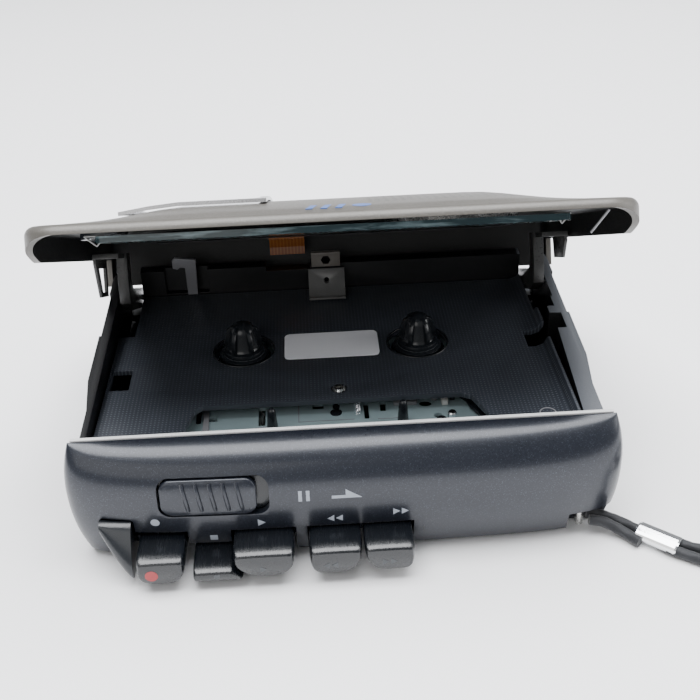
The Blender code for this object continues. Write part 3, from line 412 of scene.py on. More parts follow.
def finish(name):
    """The material of that name, made once."""
    makers = {
        "charcoal": charcoal_paint,
        "deck": deck_black,
        "gloss": gloss_black,
        "key": brushed_black,
        "frame_grey": frame_grey,
        "lever_grey": lambda: satin("lever_grey", (0.22, 0.22, 0.235), 0.45),
        "clip_beige": lambda: satin("clip_beige", (0.20, 0.185, 0.165), 0.4, metallic=0.3),
        "key_mark": lambda: satin("key_mark", (0.055, 0.060, 0.065), 0.5),
        "lid": lid_outer_paint,
        "lid_inner": lambda: satin("lid_inner", (0.0028, 0.0028, 0.0027), 0.5),
        "liner": lambda: satin("liner_black", (0.0045, 0.0043, 0.0058), 0.4),
        "dull_silver": lambda: satin("dull_silver", (0.19, 0.19, 0.185), 0.38, metallic=0.5),
        # The trim strip is a silver strip with a near-white, mostly matte colour: its brightness is a painted
        # highlight along the rim's edge.
        "trim_silver_painted_highlight": lambda: satin("trim_silver_painted_highlight", (0.86, 0.86, 0.86), 0.30, metallic=0.2, relief=0.006),
        "steel": lambda: metal("steel"),
        "steel_bright": lambda: metal("steel_bright", (0.40, 0.40, 0.41), 0.25, (1.0, 1.0, 1.0)),
        "chrome": lambda: metal("chrome", (0.83, 0.84, 0.86), 0.12, (1.0, 1.0, 1.0)),
        "brass": lambda: metal("brass", (0.52, 0.40, 0.20), 0.3, (1.0, 1.0, 1.0)),
        "teal": teal_paint,
        "rubber": lambda: satin("rubber", (0.012, 0.012, 0.013), 0.75),
        "smoked": lambda: satin("smoked", (0.010, 0.014, 0.016), 0.16, tone=0.3, relief=0.004, IOR=1.30),
        "crossbar": crossbar_gloss,
        "amber": amber_film,
        "board": board_green,
        "braid": braid_black,
        "reflector": lambda: satin("reflector", (0.93, 0.94, 0.99), 0.32, tone=0.04, relief=0.004),
        "arm_grey": lambda: satin("arm_grey", (0.036, 0.036, 0.035), 0.30, metallic=0.2),
        "print_grey": lambda: satin("print_grey", (0.33, 0.36, 0.41), 0.5),
        "print_red": lambda: satin("print_red", (0.36, 0.030, 0.034), 0.42),
        "print_blue": lambda: satin("print_blue", (0.035, 0.095, 0.30), 0.4),
        "pale_plastic": lambda: satin("pale_plastic", (0.62, 0.62, 0.60), 0.5),
    }
    if name not in MATERIALS:
        MATERIALS[name] = makers[name]()
    return MATERIALS[name]


NODE_FINISH = {
    "gloss": "volume_wheel earphone_jack counter_button supply_reel_table takeup_reel_table",
    "lever_grey": "idler_gear",
    "liner": "lid_liner",
    "steel": "deck_screw head_slide flywheel motor battery_spring speaker hinge_pin_left hinge_pin_right",
    "trim_silver_painted_highlight": "trim_strip",
    "steel_bright": "window_trim",
    "chrome": "capstan_shaft strap_ferrule record_play_head",
    "reflector": "reflector_strip",
    "brass": "motor_pulley",
    "teal": "chassis_plate",
    "rubber": "drive_belt pinch_roller",
    "smoked": "lid_window",
    "crossbar": "lid_crossbar",
    "amber": "flat_cable",
    "board": "circuit_board",
}


def finish_nodes():
    for name, nodes in NODE_FINISH.items():
        for each in nodes.split():
            for held in frame["nodes"][each].material_slots:
                held.material = finish(name)


# ---------------------------------------------------------------- mesh helpers


def make_piece(name, bm, material, body, smooth=35.0):
    """Turns a mesh drawn in millimetres into a piece that rides on a body."""
    bmesh.ops.recalc_face_normals(bm, faces=bm.faces)
    bmesh.ops.scale(bm, vec=(MM, MM, MM), verts=bm.verts)
    mesh = bpy.data.meshes.new(name)
    bm.to_mesh(mesh)
    bm.free()
    for each in material.split():
        mesh.materials.append(finish(each))
    mesh.shade_smooth()
    mesh.set_sharp_from_angle(angle=math.radians(smooth))
    obj = add_object(name, mesh)
    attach(obj, body)
    return obj


def stand_in(node_name, bm, material, smooth=35.0):
    """A piece drawn in place of a CAD node, on the same body."""
    body = frame["nodes"][node_name]["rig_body"]
    piece = make_piece(f"{node_name}_form", bm, material, body, smooth)
    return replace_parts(piece, node_name)


def node_mesh(node_name):
    """A CAD node's mesh in millimetres, with its flat faces joined up."""
    bm = bmesh.new()
    bm.from_mesh(frame["nodes"][node_name].data)
    bmesh.ops.scale(bm, vec=(1 / MM, 1 / MM, 1 / MM), verts=bm.verts)
    bmesh.ops.remove_doubles(bm, verts=bm.verts, dist=0.002)
    bmesh.ops.dissolve_limit(bm, angle_limit=math.radians(1.0), verts=bm.verts, edges=bm.edges)
    return bm


def round_edges(bm, width, sharper=30.0, segments=2):
    edges = [
        e for e in bm.edges
        if len(e.link_faces) == 2 and e.calc_face_angle(0.0) > math.radians(sharper)
        and e.calc_length() > width
    ]
    bmesh.ops.bevel(bm, geom=edges, offset=width, segments=segments, profile=0.6, affect="EDGES",
                    clamp_overlap=True)
    return bm


def softened(node_name, material, width, sharper=30.0):
    """A copy of a CAD node with its edges rounded, as moulded parts have them."""
    return stand_in(node_name, round_edges(node_mesh(node_name), width, sharper), material)


def cut_corners(outline, rounds=2, keep=0.75):
    """Rounds an outline by cutting its corners again and again."""
    for _ in range(rounds):
        cut = []
        for (ax, ay), (bx, by) in zip(outline, outline[1:] + outline[:1]):
            cut.append((ax * keep + bx * (1 - keep), ay * keep + by * (1 - keep)))
            cut.append((ax * (1 - keep) + bx * keep, ay * (1 - keep) + by * keep))
        outline = cut
    return outline


def rounded_rectangle(x, y, radii, steps=4):
    """Corner radii run from the low corner, counter-clockwise."""
    corners = [(x[0], y[0], 180), (x[1], y[0], 270), (x[1], y[1], 0), (x[0], y[1], 90)]
    points = []
    for (cx, cy, start), radius in zip(corners, radii):
        mx = cx + radius if start in (180, 90) else cx - radius
        my = cy + radius if start in (180, 270) else cy - radius
        for k in range(steps + 1):
            angle = math.radians(start + 90 * k / steps)
            points.append((mx + radius * math.cos(angle), my + radius * math.sin(angle)))
    return points


def disc(centre, radius, segments=24):
    turn = [math.tau * i / segments for i in range(segments)]
    return [(centre[0] + radius * math.cos(a), centre[1] + radius * math.sin(a)) for a in turn]


def add_loft(bm, rings, caps=True):
    """Joins rings of equal length, with flat ends."""
    loops = [[bm.verts.new(p) for p in ring] for ring in rings]
    for low, high in zip(loops, loops[1:]):
        for i in range(len(low)):
            j = (i + 1) % len(low)
            bm.faces.new((low[i], low[j], high[j], high[i]))
    if caps:
        bm.faces.new(loops[0][::-1])
        bm.faces.new(loops[-1])
    return loops


def add_plate(bm, outline, low, high, round_off=0.0):
    """A flat plate, with its upper edge rounded off."""
    rings = [[(x, y, low) for x, y in outline], [(x, y, high - round_off) for x, y in outline]]
    if round_off:
        cx, cy = [sum(p[i] for p in outline) / len(outline) for i in (0, 1)]
        for share in (0.5, 1.0):
            inset = round_off * (1.0 - math.sqrt(1.0 - share**2))
            ring = []
            for x, y in outline:
                reach = max(math.hypot(x - cx, y - cy), 1e-6)
                scale = max(1.0 - inset / reach, 0.1)
                ring.append((cx + (x - cx) * scale, cy + (y - cy) * scale, high - round_off * (1.0 - share)))
            rings.append(ring)
    add_loft(bm, rings)


def add_box(bm, x, y, z):
    add_plate(bm, [(x[0], y[0]), (x[1], y[0]), (x[1], y[1]), (x[0], y[1])], *z)


def add_turned(bm, profile, centre, segments=32):
    """Turns a (radius, height) profile about an upright line."""
    rings = []
    for radius, height in profile:
        rings.append([(x, y, height) for x, y in disc(centre, radius, segments)])
    add_loft(bm, rings)


def add_rod(bm, path, radius, around=10):
    """A rod along a list of points; its radius is a number, or depends on angle and distance."""
    rings, side, travelled = [], Vector((0.0, 0.0, 1.0)), 0.0
    path = [Vector(p) for p in path]
    for k, at in enumerate(path):
        ahead = (path[min(k + 1, len(path) - 1)] - path[max(k - 1, 0)]).normalized()
        if abs(ahead.dot(side)) > 0.95:
            side = Vector((1.0, 0.0, 0.0))
        side = (side - ahead * side.dot(ahead)).normalized()
        up = ahead.cross(side)
        travelled += (at - path[max(k - 1, 0)]).length
        ring = []
        for i in range(around):
            angle = math.tau * i / around
            reach = radius(angle, travelled) if callable(radius) else radius
            ring.append(at + reach * (math.cos(angle) * side + math.sin(angle) * up))
        rings.append(ring)
    add_loft(bm, rings)


def wrap_loops(bm, loops, closed=True):
    """Joins loops to one another, and the last to the first, as a ring's four sides."""
    for here, after in zip(loops, loops[1:] + loops[:1]):
        for i in range(len(here) - (not closed)):
            j = (i + 1) % len(here)
            bm.faces.new((here[i], here[j], after[j], after[i]))


def carve(bm, cutter, materials=()):
    """Cuts one drawn mesh out of another."""
    objects = []
    for each in (bm, cutter):
        bmesh.ops.recalc_face_normals(each, faces=each.faces)
        mesh = bpy.data.meshes.new("carving")
        each.to_mesh(mesh)
        each.free()
        for held in materials:
            mesh.materials.append(finish(held))
        objects.append(add_object("carving", mesh))
    step = objects[0].modifiers.new("Cut", "BOOLEAN")
    step.object = objects[1]
    step.solver = "EXACT"
    graph = bpy.context.evaluated_depsgraph_get()
    result = bmesh.new()
    result.from_mesh(objects[0].evaluated_get(graph).to_mesh())
    objects[0].evaluated_get(graph).to_mesh_clear()
    for obj in objects:
        bpy.data.objects.remove(obj)
    return result


# ---------------------------------------------------------------- front panel


def half_width(z):
    """The panel is widest at mid height, and draws in towards the rim and the base."""
    if z > PANEL_WIDEST_Z:
        share = (z - PANEL_WIDEST_Z) / (RIM_EDGE_Z - PANEL_WIDEST_Z)
        return PANEL_HALF_WIDTH - PANEL_RIM_DRAW * share**PANEL_TAPER
    return PANEL_HALF_WIDTH - PANEL_BASE_DRAW * ((PANEL_WIDEST_Z - z) / PANEL_WIDEST_Z) ** PANEL_TAPER


def panel_depth(z):
    if z >= PANEL_BELLY_Z:
        share = (z - PANEL_BELLY_Z) / (RIM_EDGE_Z - PANEL_BELLY_Z)
        return PANEL_DEPTH * max(1.0 - share**PANEL_TOP_CURVE, 0.0) ** (1 / PANEL_FRONT_CURVE)
    return PANEL_DEPTH - PANEL_BASE_SHALLOWER * ((PANEL_BELLY_Z - z) / PANEL_BELLY_Z) ** PANEL_TAPER


def panel_point(x, z, offset=0.0, depth=None):
    """A point on the panel's bowed face, moved outwards by the offset."""
    across = min(abs(x) / half_width(z), 1.0)
    bow = (1.0 - across**PANEL_BOW) ** (1 / PANEL_BOW)
    front = (panel_depth(z) if depth is None else depth) * bow
    return (x, RIM_EDGE_Y - front - offset, z)


def panel_profile():
    """(depth, height) along the panel's face, from the rim's edge down to the base."""
    upper, lower = 30, 18
    points = [(0.0, RIM_EDGE_Z)]
    for k in range(1, upper + 1):
        angle = math.pi / 2 * k / upper
        depth = PANEL_DEPTH * math.sin(angle) ** (2 / PANEL_FRONT_CURVE)
        z = PANEL_BELLY_Z + (RIM_EDGE_Z - PANEL_BELLY_Z) * math.cos(angle) ** (2 / PANEL_TOP_CURVE)
        points.append((depth, z))
    for k in range(1, lower + 1):
        z = PANEL_BELLY_Z + (1.6 - PANEL_BELLY_Z) * k / lower
        points.append((panel_depth(z), z))
    return points + [(panel_depth(0.0) - 0.3, 0.9), (panel_depth(0.0) - 1.2, 0.55), (0.0, PANEL_BOTTOM)]


def panel_layer(bm, inset, across=90):
    """A grid of verts over the panel's face, drawn inwards by the inset."""
    rows = []
    squeeze = 1.0 - 2 * inset / (RIM_EDGE_Z - PANEL_BOTTOM)
    middle = (RIM_EDGE_Z + PANEL_BOTTOM) / 2
    for depth, z in panel_profile():
        row = []
        for k in range(across + 1):
            turn = math.cos(math.pi * k / across)
            x = half_width(z) * math.copysign(abs(turn) ** (2 / PANEL_BOW), turn)
            front = (RIM_EDGE_Y - panel_point(x, z, depth=depth)[1]) * (1.0 - inset / PANEL_DEPTH)
            narrow = 1.0 - inset / half_width(z)
            row.append(bm.verts.new((x * narrow, RIM_EDGE_Y - front, middle + (z - middle) * squeeze)))
        rows.append(row)
    return rows


def border(rows):
    """The verts round the edge of a grid, in order."""
    right = [row[-1] for row in rows[1:]]
    left = [row[0] for row in rows[-2:0:-1]]
    return rows[0] + right + rows[-1][-2::-1] + left


def close_layers(bm, outer, inner):
    """Fills two matching grids with faces and joins them round their edges."""
    for rows in (outer, inner):
        for here, after in zip(rows, rows[1:]):
            for i in range(len(here) - 1):
                bm.faces.new((here[i], after[i], after[i + 1], here[i + 1]))
    rim, lining = border(outer), border(inner)
    for k in range(len(rim)):
        n = (k + 1) % len(rim)
        bm.faces.new((rim[k], rim[n], lining[n], lining[k]))


def add_upright(bm, outline, near, far):
    """A prism of an (x, z) outline from one y to another."""
    add_loft(bm, [[(x, y, z) for x, z in outline] for y in (near, far)])


def front_panel():
    """The bowed panel with its windows for the keys, the strap and the pause slider."""
    bm = bmesh.new()
    close_layers(bm, panel_layer(bm, 0.0), panel_layer(bm, PANEL_WALL))
    bmesh.ops.remove_doubles(bm, verts=bm.verts, dist=0.0005)
    cutter = bmesh.new()
    windows = ((KEY_WINDOW, -34.5), (WIND_KEY_WINDOW, -34.5), (STRAP_NOTCH, -35.27), (SLOT_OUTLINE, -36.0))
    for outline, rear in windows:
        add_upright(cutter, outline, -60.0, rear)
    bm = carve(bm, cutter)
    stand_in("front_panel", round_edges(bm, 0.22, 45.0), "charcoal")


def add_pad(bm, outline, low, high, place, round_off=0.0, rings=4):
    """A pad with a given outline that follows a curved face, from one offset to another."""
    cx, cz = [sum(p[i] for p in outline) / len(outline) for i in (0, 1)]
    levels = [(1.0, low), (1.0, high - round_off)]
    half = min(max(p[i] for p in outline) - min(p[i] for p in outline) for i in (0, 1)) / 2
    for share in (0.6, 1.0):
        if round_off:
            inset = round_off * (1.0 - math.sqrt(1.0 - share**2))
            levels.append((1.0 - inset / half, high - round_off * (1.0 - share)))
    last = levels[-1][0]
    levels += [(last * (1.0 - k / rings), high) for k in range(1, rings)]
    drawn = []
    for scale, offset in levels:
        ring = [place(cx + (x - cx) * scale, cz + (z - cz) * scale, offset) for x, z in outline]
        drawn.append(ring)
    loops = add_loft(bm, drawn, caps=False)
    bm.faces.new(loops[0][::-1])
    middle = bm.verts.new(place(cx, cz, high))
    for i in range(len(outline)):
        bm.faces.new((loops[-1][i], loops[-1][(i + 1) % len(outline)], middle))


SLOT_OUTLINE = rounded_rectangle((-39.3, -16.2), (14.0, 23.0), (2.6,) * 4, 6)
SLIDER_OUTLINE = rounded_rectangle((-38.8, -18.8), (14.4, 22.5), (2.4,) * 4, 6)


def pause_control():
    """The dark tray behind the slot, and the ribbed slider in it."""
    tray = bmesh.new()
    add_pad(tray, rounded_rectangle((-40.3, -15.2), (13.2, 23.8), (1.0,) * 4), -2.3, -1.9, panel_point)
    make_piece("slot_tray", tray, "gloss", "case")
    bm = bmesh.new()
    add_pad(bm, SLIDER_OUTLINE, -1.2, 0.25, panel_point, 0.3)
    stand_in("pause_slider", bm, "charcoal")
    ribs = bmesh.new()
    for k in range(5):
        x = -34.0 + 2.8 * k
        path = []
        for j in range(9):
            z = 21.9 - 6.2 * j / 8
            path.append(panel_point(x + j / 8, z, 0.18 + 0.25 * math.sin(math.pi * j / 8) ** 0.4))
        add_rod(ribs, path, 0.42)
    make_piece("slider_ribs", ribs, "charcoal", "pause_slider")


def arrow_mark(x, z, size, points=(0.0,)):
    """Triangles that point right, or left for a negative size."""
    return [[(x + p, z + abs(size)), (x + p, z - abs(size)), (x + p + 1.7 * size, z)] for p in points]


def panel_prints():
    """Generic marks over the keys: record, stop, play, rewind and forward, and the pause arrow."""
    shapes = [disc((-40.4, 12.5), 0.95), rounded_rectangle((-29.4, -27.8), (6.6, 8.2), (0.1,) * 4, 1)]
    shapes += arrow_mark(-19.0, 11.5, 0.95)
    shapes += arrow_mark(-1.2, 11.6, -0.85, (0.0, -1.8))
    shapes += arrow_mark(9.4, 12.6, 0.85, (0.0, 1.8))
    shapes += [[(x, 16.7), (x + 0.75, 16.7), (x + 0.75, 19.2), (x, 19.2)] for x in (-10.2, -8.6)]
    shapes += [[(-3.3, 17.0), (-0.4, 17.0), (-0.4, 17.7), (-3.3, 17.7)]]
    shapes += [[(-0.4, 17.0), (3.0, 17.0), (-0.4, 19.1)]]
    bm = bmesh.new()
    for outline in shapes:
        add_pad(bm, outline, PRINT_SINK, PRINT_PROUD, panel_point, rings=2)
    make_piece("panel_prints", bm, "print_grey", "case", 60.0)
    tick = bmesh.new()
    outline = [(15.8, 5.7), (16.1, 5.7), (16.1, 7.5), (15.8, 7.5)]
    add_pad(tick, outline, PRINT_SINK, 0.03, panel_point, rings=2)
    make_piece("panel_tick", tick, "gloss", "case")


# ---------------------------------------------------------------- keys


def key_outline(node_name):
    """The outline of a key cap, taken from its rear end."""
    bm = node_mesh(node_name)
    rear = max(bm.faces, key=lambda f: f.normal.y * f.calc_area())
    outline = [(v.co.x, v.co.z) for v in rear.verts]
    depth = (min(v.co.y for v in bm.verts), max(v.co.y for v in bm.verts))
    bm.free()
    return outline, depth


def key_cap(node_name):
    """A cap whose face rolls over into its top in a wide curve."""
    outline, (front, rear) = key_outline(node_name)
    outline = cut_corners(outline, 2)
    low, high = min(z for _, z in outline), max(z for _, z in outline)
    middle = sum(x for x, _ in outline) / len(outline)
    half = (max(x for x, _ in outline) - min(x for x, _ in outline)) / 2
    steps = 9
    rings = []
    for k in range(steps + 3):
        share = max(k - 2, 0) / steps
        angle = math.pi / 2 * share
        y = front + KEY_ROLL * (1.0 - math.sin(angle)) if k > 1 else (rear, front + KEY_ROLL + 0.3)[k]
        drop = KEY_DROP * KEY_ROLL * (1.0 - math.cos(angle))
        inset = KEY_INSET * (1.0 - math.cos(angle))
        ring = []
        for x, z in outline:
            height = (z - low) / (high - low)
            lowered = low + (z - low) * (1.0 - drop * height / (high - low)) + inset * 0.5 * (1.0 - height)
            ring.append((middle + (x - middle) * (1.0 - inset / half), y, lowered))
        rings.append(ring)
    bm = bmesh.new()
    add_loft(bm, rings)
    stand_in(node_name, bm, "key", 50.0)


def key_marks():
    """A red spot on the record key, and faint marks on the others."""
    marks = {
        "record_key": ("print_red", [disc((-41.3, 4.9), 1.35)]),
        "play_key": ("key_mark", arrow_mark(-18.8, 5.0, 0.8)),
        "rewind_key": ("key_mark", arrow_mark(-2.7, 5.0, -0.8, (0.0, -1.7))),
        "forward_key": ("key_mark", arrow_mark(6.6, 5.2, 0.8, (0.0, 1.7))),
        "stop_key": ("key_mark", [rounded_rectangle((-28.5, -27.3), (3.1, 4.2), (0.1,) * 4, 1)]),
    }
    for name, (material, shapes) in marks.items():
        bm = bmesh.new()
        for outline in shapes:
            add_upright(bm, outline, KEY_FRONT_Y + 0.1, KEY_FRONT_Y - 0.04)
        make_piece(f"{name}_mark", bm, material, name)


def guard_fin():
    """The curved fin beside the record key: deep next to it, and dying away into the panel.

    Both outlines are (y, z) sections, from the key's side to the panel's.
    """
    near, far = -45.5, -52.2
    outer = [(-36.0, 1.2), (-41.0, 13.0), (-43.6, 12.4), (-46.4, 8.6), (-48.7, 4.2), (-48.2, 1.6)]
    inner = [(-36.0, 9.6), (-40.6, 13.0), (-42.6, 12.6), (-43.0, 12.0), (-43.1, 11.2), (-42.6, 10.0)]
    rings = []
    steps = 14
    for k in range(steps + 1):
        share = k / steps
        fade = share**1.25
        ring = []
        for (ay, az), (by, bz) in zip(cut_corners(outer, 3), cut_corners(inner, 3)):
            ring.append((near + (far - near) * share, ay + (by - ay) * fade, az + (bz - az) * fade))
        rings.append(ring)
    bm = bmesh.new()
    add_loft(bm, rings)
    stand_in("key_guard", round_edges(bm, 0.5, 50.0, 3), "gloss", 50.0)


# ---------------------------------------------------------------- lid


def lid_place(x, v, w):
    """A point given on the lid, lying flat from its hinge, as it stands at rest."""
    turned = Matrix.Rotation(-LID_TILT, 3, "X") @ Vector((x, v, w))
    return turned + Vector(HINGE)


def lid_top(x, v):
    """Height of the lid's crowned outer face above the hinge axis."""
    along = min(abs(v - LID_MIDDLE) / (LID_REAR - LID_MIDDLE), 1.0)
    share = min(max((0.95 - abs(x) / LID_HALF_WIDTH) / 0.45, 0.0), 1.0)
    return LID_EDGE_TOP + LID_CROWN * share**2 * (3.0 - 2.0 * share) * (1.0 - along**2)


def lid_skirt(v):
    """Height of the skirt's lower edge: highest at the lip, lowest behind the hinge."""
    if v > HINGE_SKIRT_START:
        return HINGE_SKIRT_BOTTOM
    share = max((LIP_START - v) / (LIP_START - LID_FRONT), 0.0)
    return SKIRT_BOTTOM + (LIP_BOTTOM - SKIRT_BOTTOM) * share**1.3


def lid_outline(inset):
    """The lid's outline drawn in by the inset, with the same number of points for any inset."""
    radii = [radius - inset for radius in LID_CORNER_RADII]
    wide = LID_HALF_WIDTH - inset
    corners = rounded_rectangle((-wide, wide), (LID_FRONT + inset, LID_REAR - inset), radii, 12)
    points = []
    for k, (x, v) in enumerate(corners):
        nx, nv = corners[(k + 1) % len(corners)]
        points.append((x, v))
        if math.hypot(nx - x, nv - v) < 20.0:
            continue
        if abs(nx - x) > abs(nv - v):
            points += [(x + (nx - x) * j / 20, v) for j in range(1, 20)]
        else:
            stops = [(x, stop) for stop in LID_SIDE_STOPS]
            points += stops if nv > v else stops[::-1]
    return points


def lid_rings(wall):
    """Rings from the skirt's edge up to the crown: the outer face, or the lining behind the wall."""
    edge = zip(lid_outline(wall), lid_outline(0.0))
    rings = [[(x, v, lid_skirt(outer[1])) for (x, v), outer in edge]]
    radius = LID_EDGE_RADIUS - wall
    for k in range(7):
        angle = math.pi / 2 * k / 6
        ring = lid_outline(wall + radius * (1.0 - math.cos(angle)))
        height = LID_EDGE_TOP - LID_EDGE_RADIUS + radius * math.sin(angle)
        rings.append([(x, v, height) for x, v in ring])
    for k in range(1, 16):
        share = 1.0 - k / 16
        ring = [(x * share, LID_MIDDLE + (v - LID_MIDDLE) * share) for x, v in lid_outline(LID_EDGE_RADIUS)]
        rings.append([(x, v, lid_top(x, v) - wall) for x, v in ring])
    return rings


def lid_shell():
    """A closed shell with its outer face, its lining and the openings for window, counter and button."""
    bm = bmesh.new()
    edges = []
    for side, wall in enumerate((0.0, LID_WALL)):
        loops = [[bm.verts.new(lid_place(*p)) for p in ring] for ring in lid_rings(wall)]
        top = bm.verts.new(lid_place(0.0, LID_MIDDLE, lid_top(0.0, LID_MIDDLE) - wall))
        count = len(loops[0])
        for low, high in zip(loops, loops[1:]):
            for i in range(count):
                j = (i + 1) % count
                bm.faces.new((low[i], low[j], high[j], high[i])).material_index = side
        for i in range(count):
            bm.faces.new((loops[-1][i], loops[-1][(i + 1) % count], top)).material_index = side
        edges.append(loops[0])
    outer, inner = edges
    for i in range(len(outer)):
        j = (i + 1) % len(outer)
        bm.faces.new((outer[i], outer[j], inner[j], inner[i]))
    cutter = bmesh.new()
    window = rounded_rectangle((-43.0, -15.0), (-67.0, -31.0), (2.0,) * 4, 4)
    counter = rounded_rectangle((-55.2, -46.8), (-58.0, -42.0), (0.3,) * 4, 1)
    for outline in (window, counter, disc((-51.0, -34.0), 2.3)):
        add_loft(cutter, [[lid_place(x, v, w) for x, v in outline] for w in (12.0, 26.0)])
    stand_in("lid_shell", carve(bm, cutter, ("lid", "lid_inner")), "lid lid_inner", 50.0)


def lid_face(x, v, offset):
    """A point on the lid's outer face, moved outwards by the offset."""
    return lid_place(x, v, lid_top(x, v) + offset)


def lid_prints():
    """A plain blue mark by the lip, and the counter's three digits, all noughts."""
    bm = bmesh.new()
    bars = [[(x, -83.2), (x + 1.3, -83.2), (x + 2.3, -78.2), (x + 1.0, -78.2)] for x in (-5.5, -2.6, 0.3)]
    for outline in bars + [disc((5.6, -80.7), 1.9)]:
        add_pad(bm, outline, LID_PRINT_SINK, LID_PRINT_PROUD, lid_face)
    make_piece("lid_mark", bm, "print_blue", "lid", 60.0)
    softened("tape_counter", "gloss", 0.15)
    digits = bmesh.new()
    for k in range(3):
        middle = (-53.4 + 2.4 * k, -50.0)
        outer, inner = [
            [(middle[0] + 0.62 * x, middle[1] + 1.2 * v) for x, v in disc((0.0, 0.0), r)] for r in (1.0, 0.6)
        ]
        loops = []
        for ring, offset in ((outer, 0.4), (outer, 0.56), (inner, 0.56), (inner, 0.4)):
            loops.append([digits.verts.new(lid_face(x, v, offset)) for x, v in ring])
        wrap_loops(digits, loops)
    make_piece("counter_digits", digits, "pale_plastic", "lid", 60.0)


def lid_underside():
    """Latch tabs beside the crossbar, and the rib that braces the right end."""
    for side, name in ((-1, "left"), (1, "right")):
        bm = bmesh.new()
        inner, outer = (-44.6, -48.4) if side < 0 else (43.4, 46.2)
        corners = [(outer, -83.4, 15.0), (inner, -83.4, 15.0), (inner + 0.4 * (outer - inner), -83.0, 13.0)]
        path = []
        for a, b in zip(corners, corners[1:] + corners[:1]):
            path += [lid_place(*Vector(a).lerp(Vector(b), k / 4)) for k in range(4)]
        add_rod(bm, path + [path[0]], 0.2, 8)
        make_piece(f"latch_tab_{name}", bm, "dull_silver", "lid", 60.0)
    bm = bmesh.new()
    top, foot = Vector((53.6, -84.4, 15.2)), Vector((50.2, -83.0, 10.9))
    add_rod(bm, [lid_place(*top.lerp(foot, k / 4)) for k in range(5)], 0.24, 8)
    make_piece("lid_brace", bm, "lever_grey", "lid", 60.0)


# ---------------------------------------------------------------- deck


def add_mark_ring(bm, centre, radius, width, low, high, start=0.0, end=360.0, steps=40):
    """A flat ring, or part of one."""
    closed = end - start >= 360.0
    loops = []
    for r, z in ((radius, low), (radius, high), (radius - width, high), (radius - width, low)):
        loop = []
        for k in range(steps + (not closed)):
            angle = math.radians(start + (end - start) * k / steps)
            loop.append(bm.verts.new((centre[0] + r * math.cos(angle), centre[1] + r * math.sin(angle), z)))
        loops.append(loop)
    wrap_loops(bm, loops, closed)
    if not closed:
        bm.faces.new([loop[0] for loop in loops])
        bm.faces.new([loop[-1] for loop in loops][::-1])


def deck_details():
    """Small things on the chassis plate that show through the deck's opening."""
    top = CHASSIS_Z
    dark = bmesh.new()
    for centre, radius in (((-1.2, -14.7), 1.35), ((-1.1, -12.2), 0.8), ((22.6, -19.2), 1.1)):
        add_turned(dark, [(radius, top - 0.2), (radius, top + 0.12), (radius - 0.3, top + 0.2)], centre)
    add_plate(dark, rounded_rectangle((-33.2, -32.1), (-16.2, -11.2), (0.2,) * 4), top - 0.1, top + 0.06)
    add_plate(dark, rounded_rectangle((25.5, 26.5), (-12.2, -9.6), (0.2,) * 4), top - 0.1, top + 1.0, 0.2)
    add_rod(dark, [(28.6, -9.9, 19.0), (29.1, -13.0, 19.0), (29.9, -16.4, 19.0), (31.4, -19.4, 19.0),
                   (33.9, -22.2, 19.0)], 0.55)
    # The two upright dark bars at the opening's front stand for the head assembly's top; their black is
    # painted shade where that top lies in shade.
    add_box(dark, (-7.4, 17.8), (-27.2, -26.3), (19.7, 21.6))
    add_box(dark, (-14.9, -10.6), (-27.2, -26.3), (19.7, 21.6))
    make_piece("chassis_dark_parts", dark, "gloss", "case")
    pale = bmesh.new()
    add_plate(pale, rounded_rectangle((23.3, 24.8), (-14.0, -9.8), (0.3,) * 4), top, top + 1.3, 0.25)
    add_plate(pale, rounded_rectangle((-19.0, -17.4), (-10.9, -9.9), (0.3,) * 4), top, top + 0.9, 0.2)
    make_piece("chassis_pale_parts", pale, "pale_plastic", "case")
    grey = bmesh.new()
    lever = [(-31.9, -11.4), (-30.4, -11.4), (-30.2, -16.6), (-29.9, -21.0), (-31.6, -21.0), (-31.4, -16.6)]
    add_plate(grey, cut_corners(lever, 1), top + 0.1, top + 0.7, 0.15)
    add_plate(grey, rounded_rectangle((12.2, 17.7), (-13.4, -9.4), (0.6,) * 4), top + 0.1, top + 0.9, 0.2)
    add_plate(grey, rounded_rectangle((21.2, 22.4), (-12.0, -9.8), (0.3,) * 4), top, top + 1.0, 0.2)
    make_piece("chassis_grey_parts", grey, "lever_grey", "case")
    # Thin grey lines and an arc on the chassis plate, darker than its teal: painted shade along the plate's
    # creases and raised edges.
    lines = bmesh.new()
    creases = (((-9.9, -9.7), (-17.6, -10.0)), ((-9.9, 2.9), (-17.7, -17.5)), ((8.2, 13.4), (-18.1, -17.9)))
    for x, y in creases:
        add_box(lines, x, y, (top - 0.1, top + 0.07))
    add_mark_ring(lines, (-16.8, -27.2), 8.6, 0.25, top - 0.1, top + 0.08, 40.0, 150.0)
    make_piece("plate_crease_shade", lines, "lever_grey", "case")
    crescent = bmesh.new()
    curve = [(29.9, -10.0), (31.2, -12.4), (32.6, -15.8), (33.6, -20.4), (32.0, -18.6), (30.6, -15.2)]
    add_plate(crescent, curve, top + 0.1, top + 0.5)
    make_piece("chassis_crescent", crescent, "teal", "case")


def return_spring():
    """A wound spring in place of its ridged outer shape."""
    low, high = [[c / MM for c in corner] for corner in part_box("head_return_spring")]
    wire, turns, per_turn = 0.16, 9, 14
    radius = (high[0] - low[0]) / 2 - wire
    middle = [(a + b) / 2 for a, b in zip(low, high)]
    path = []
    for k in range(turns * per_turn + 1):
        angle = math.tau * k / per_turn
        y = low[1] + wire + (high[1] - low[1] - 2 * wire) * k / (turns * per_turn)
        path.append((middle[0] + radius * math.cos(angle), y, middle[2] + radius * math.sin(angle)))
    bm = bmesh.new()
    add_rod(bm, path, wire, 6)
    stand_in("head_return_spring", bm, "chrome", 60.0)


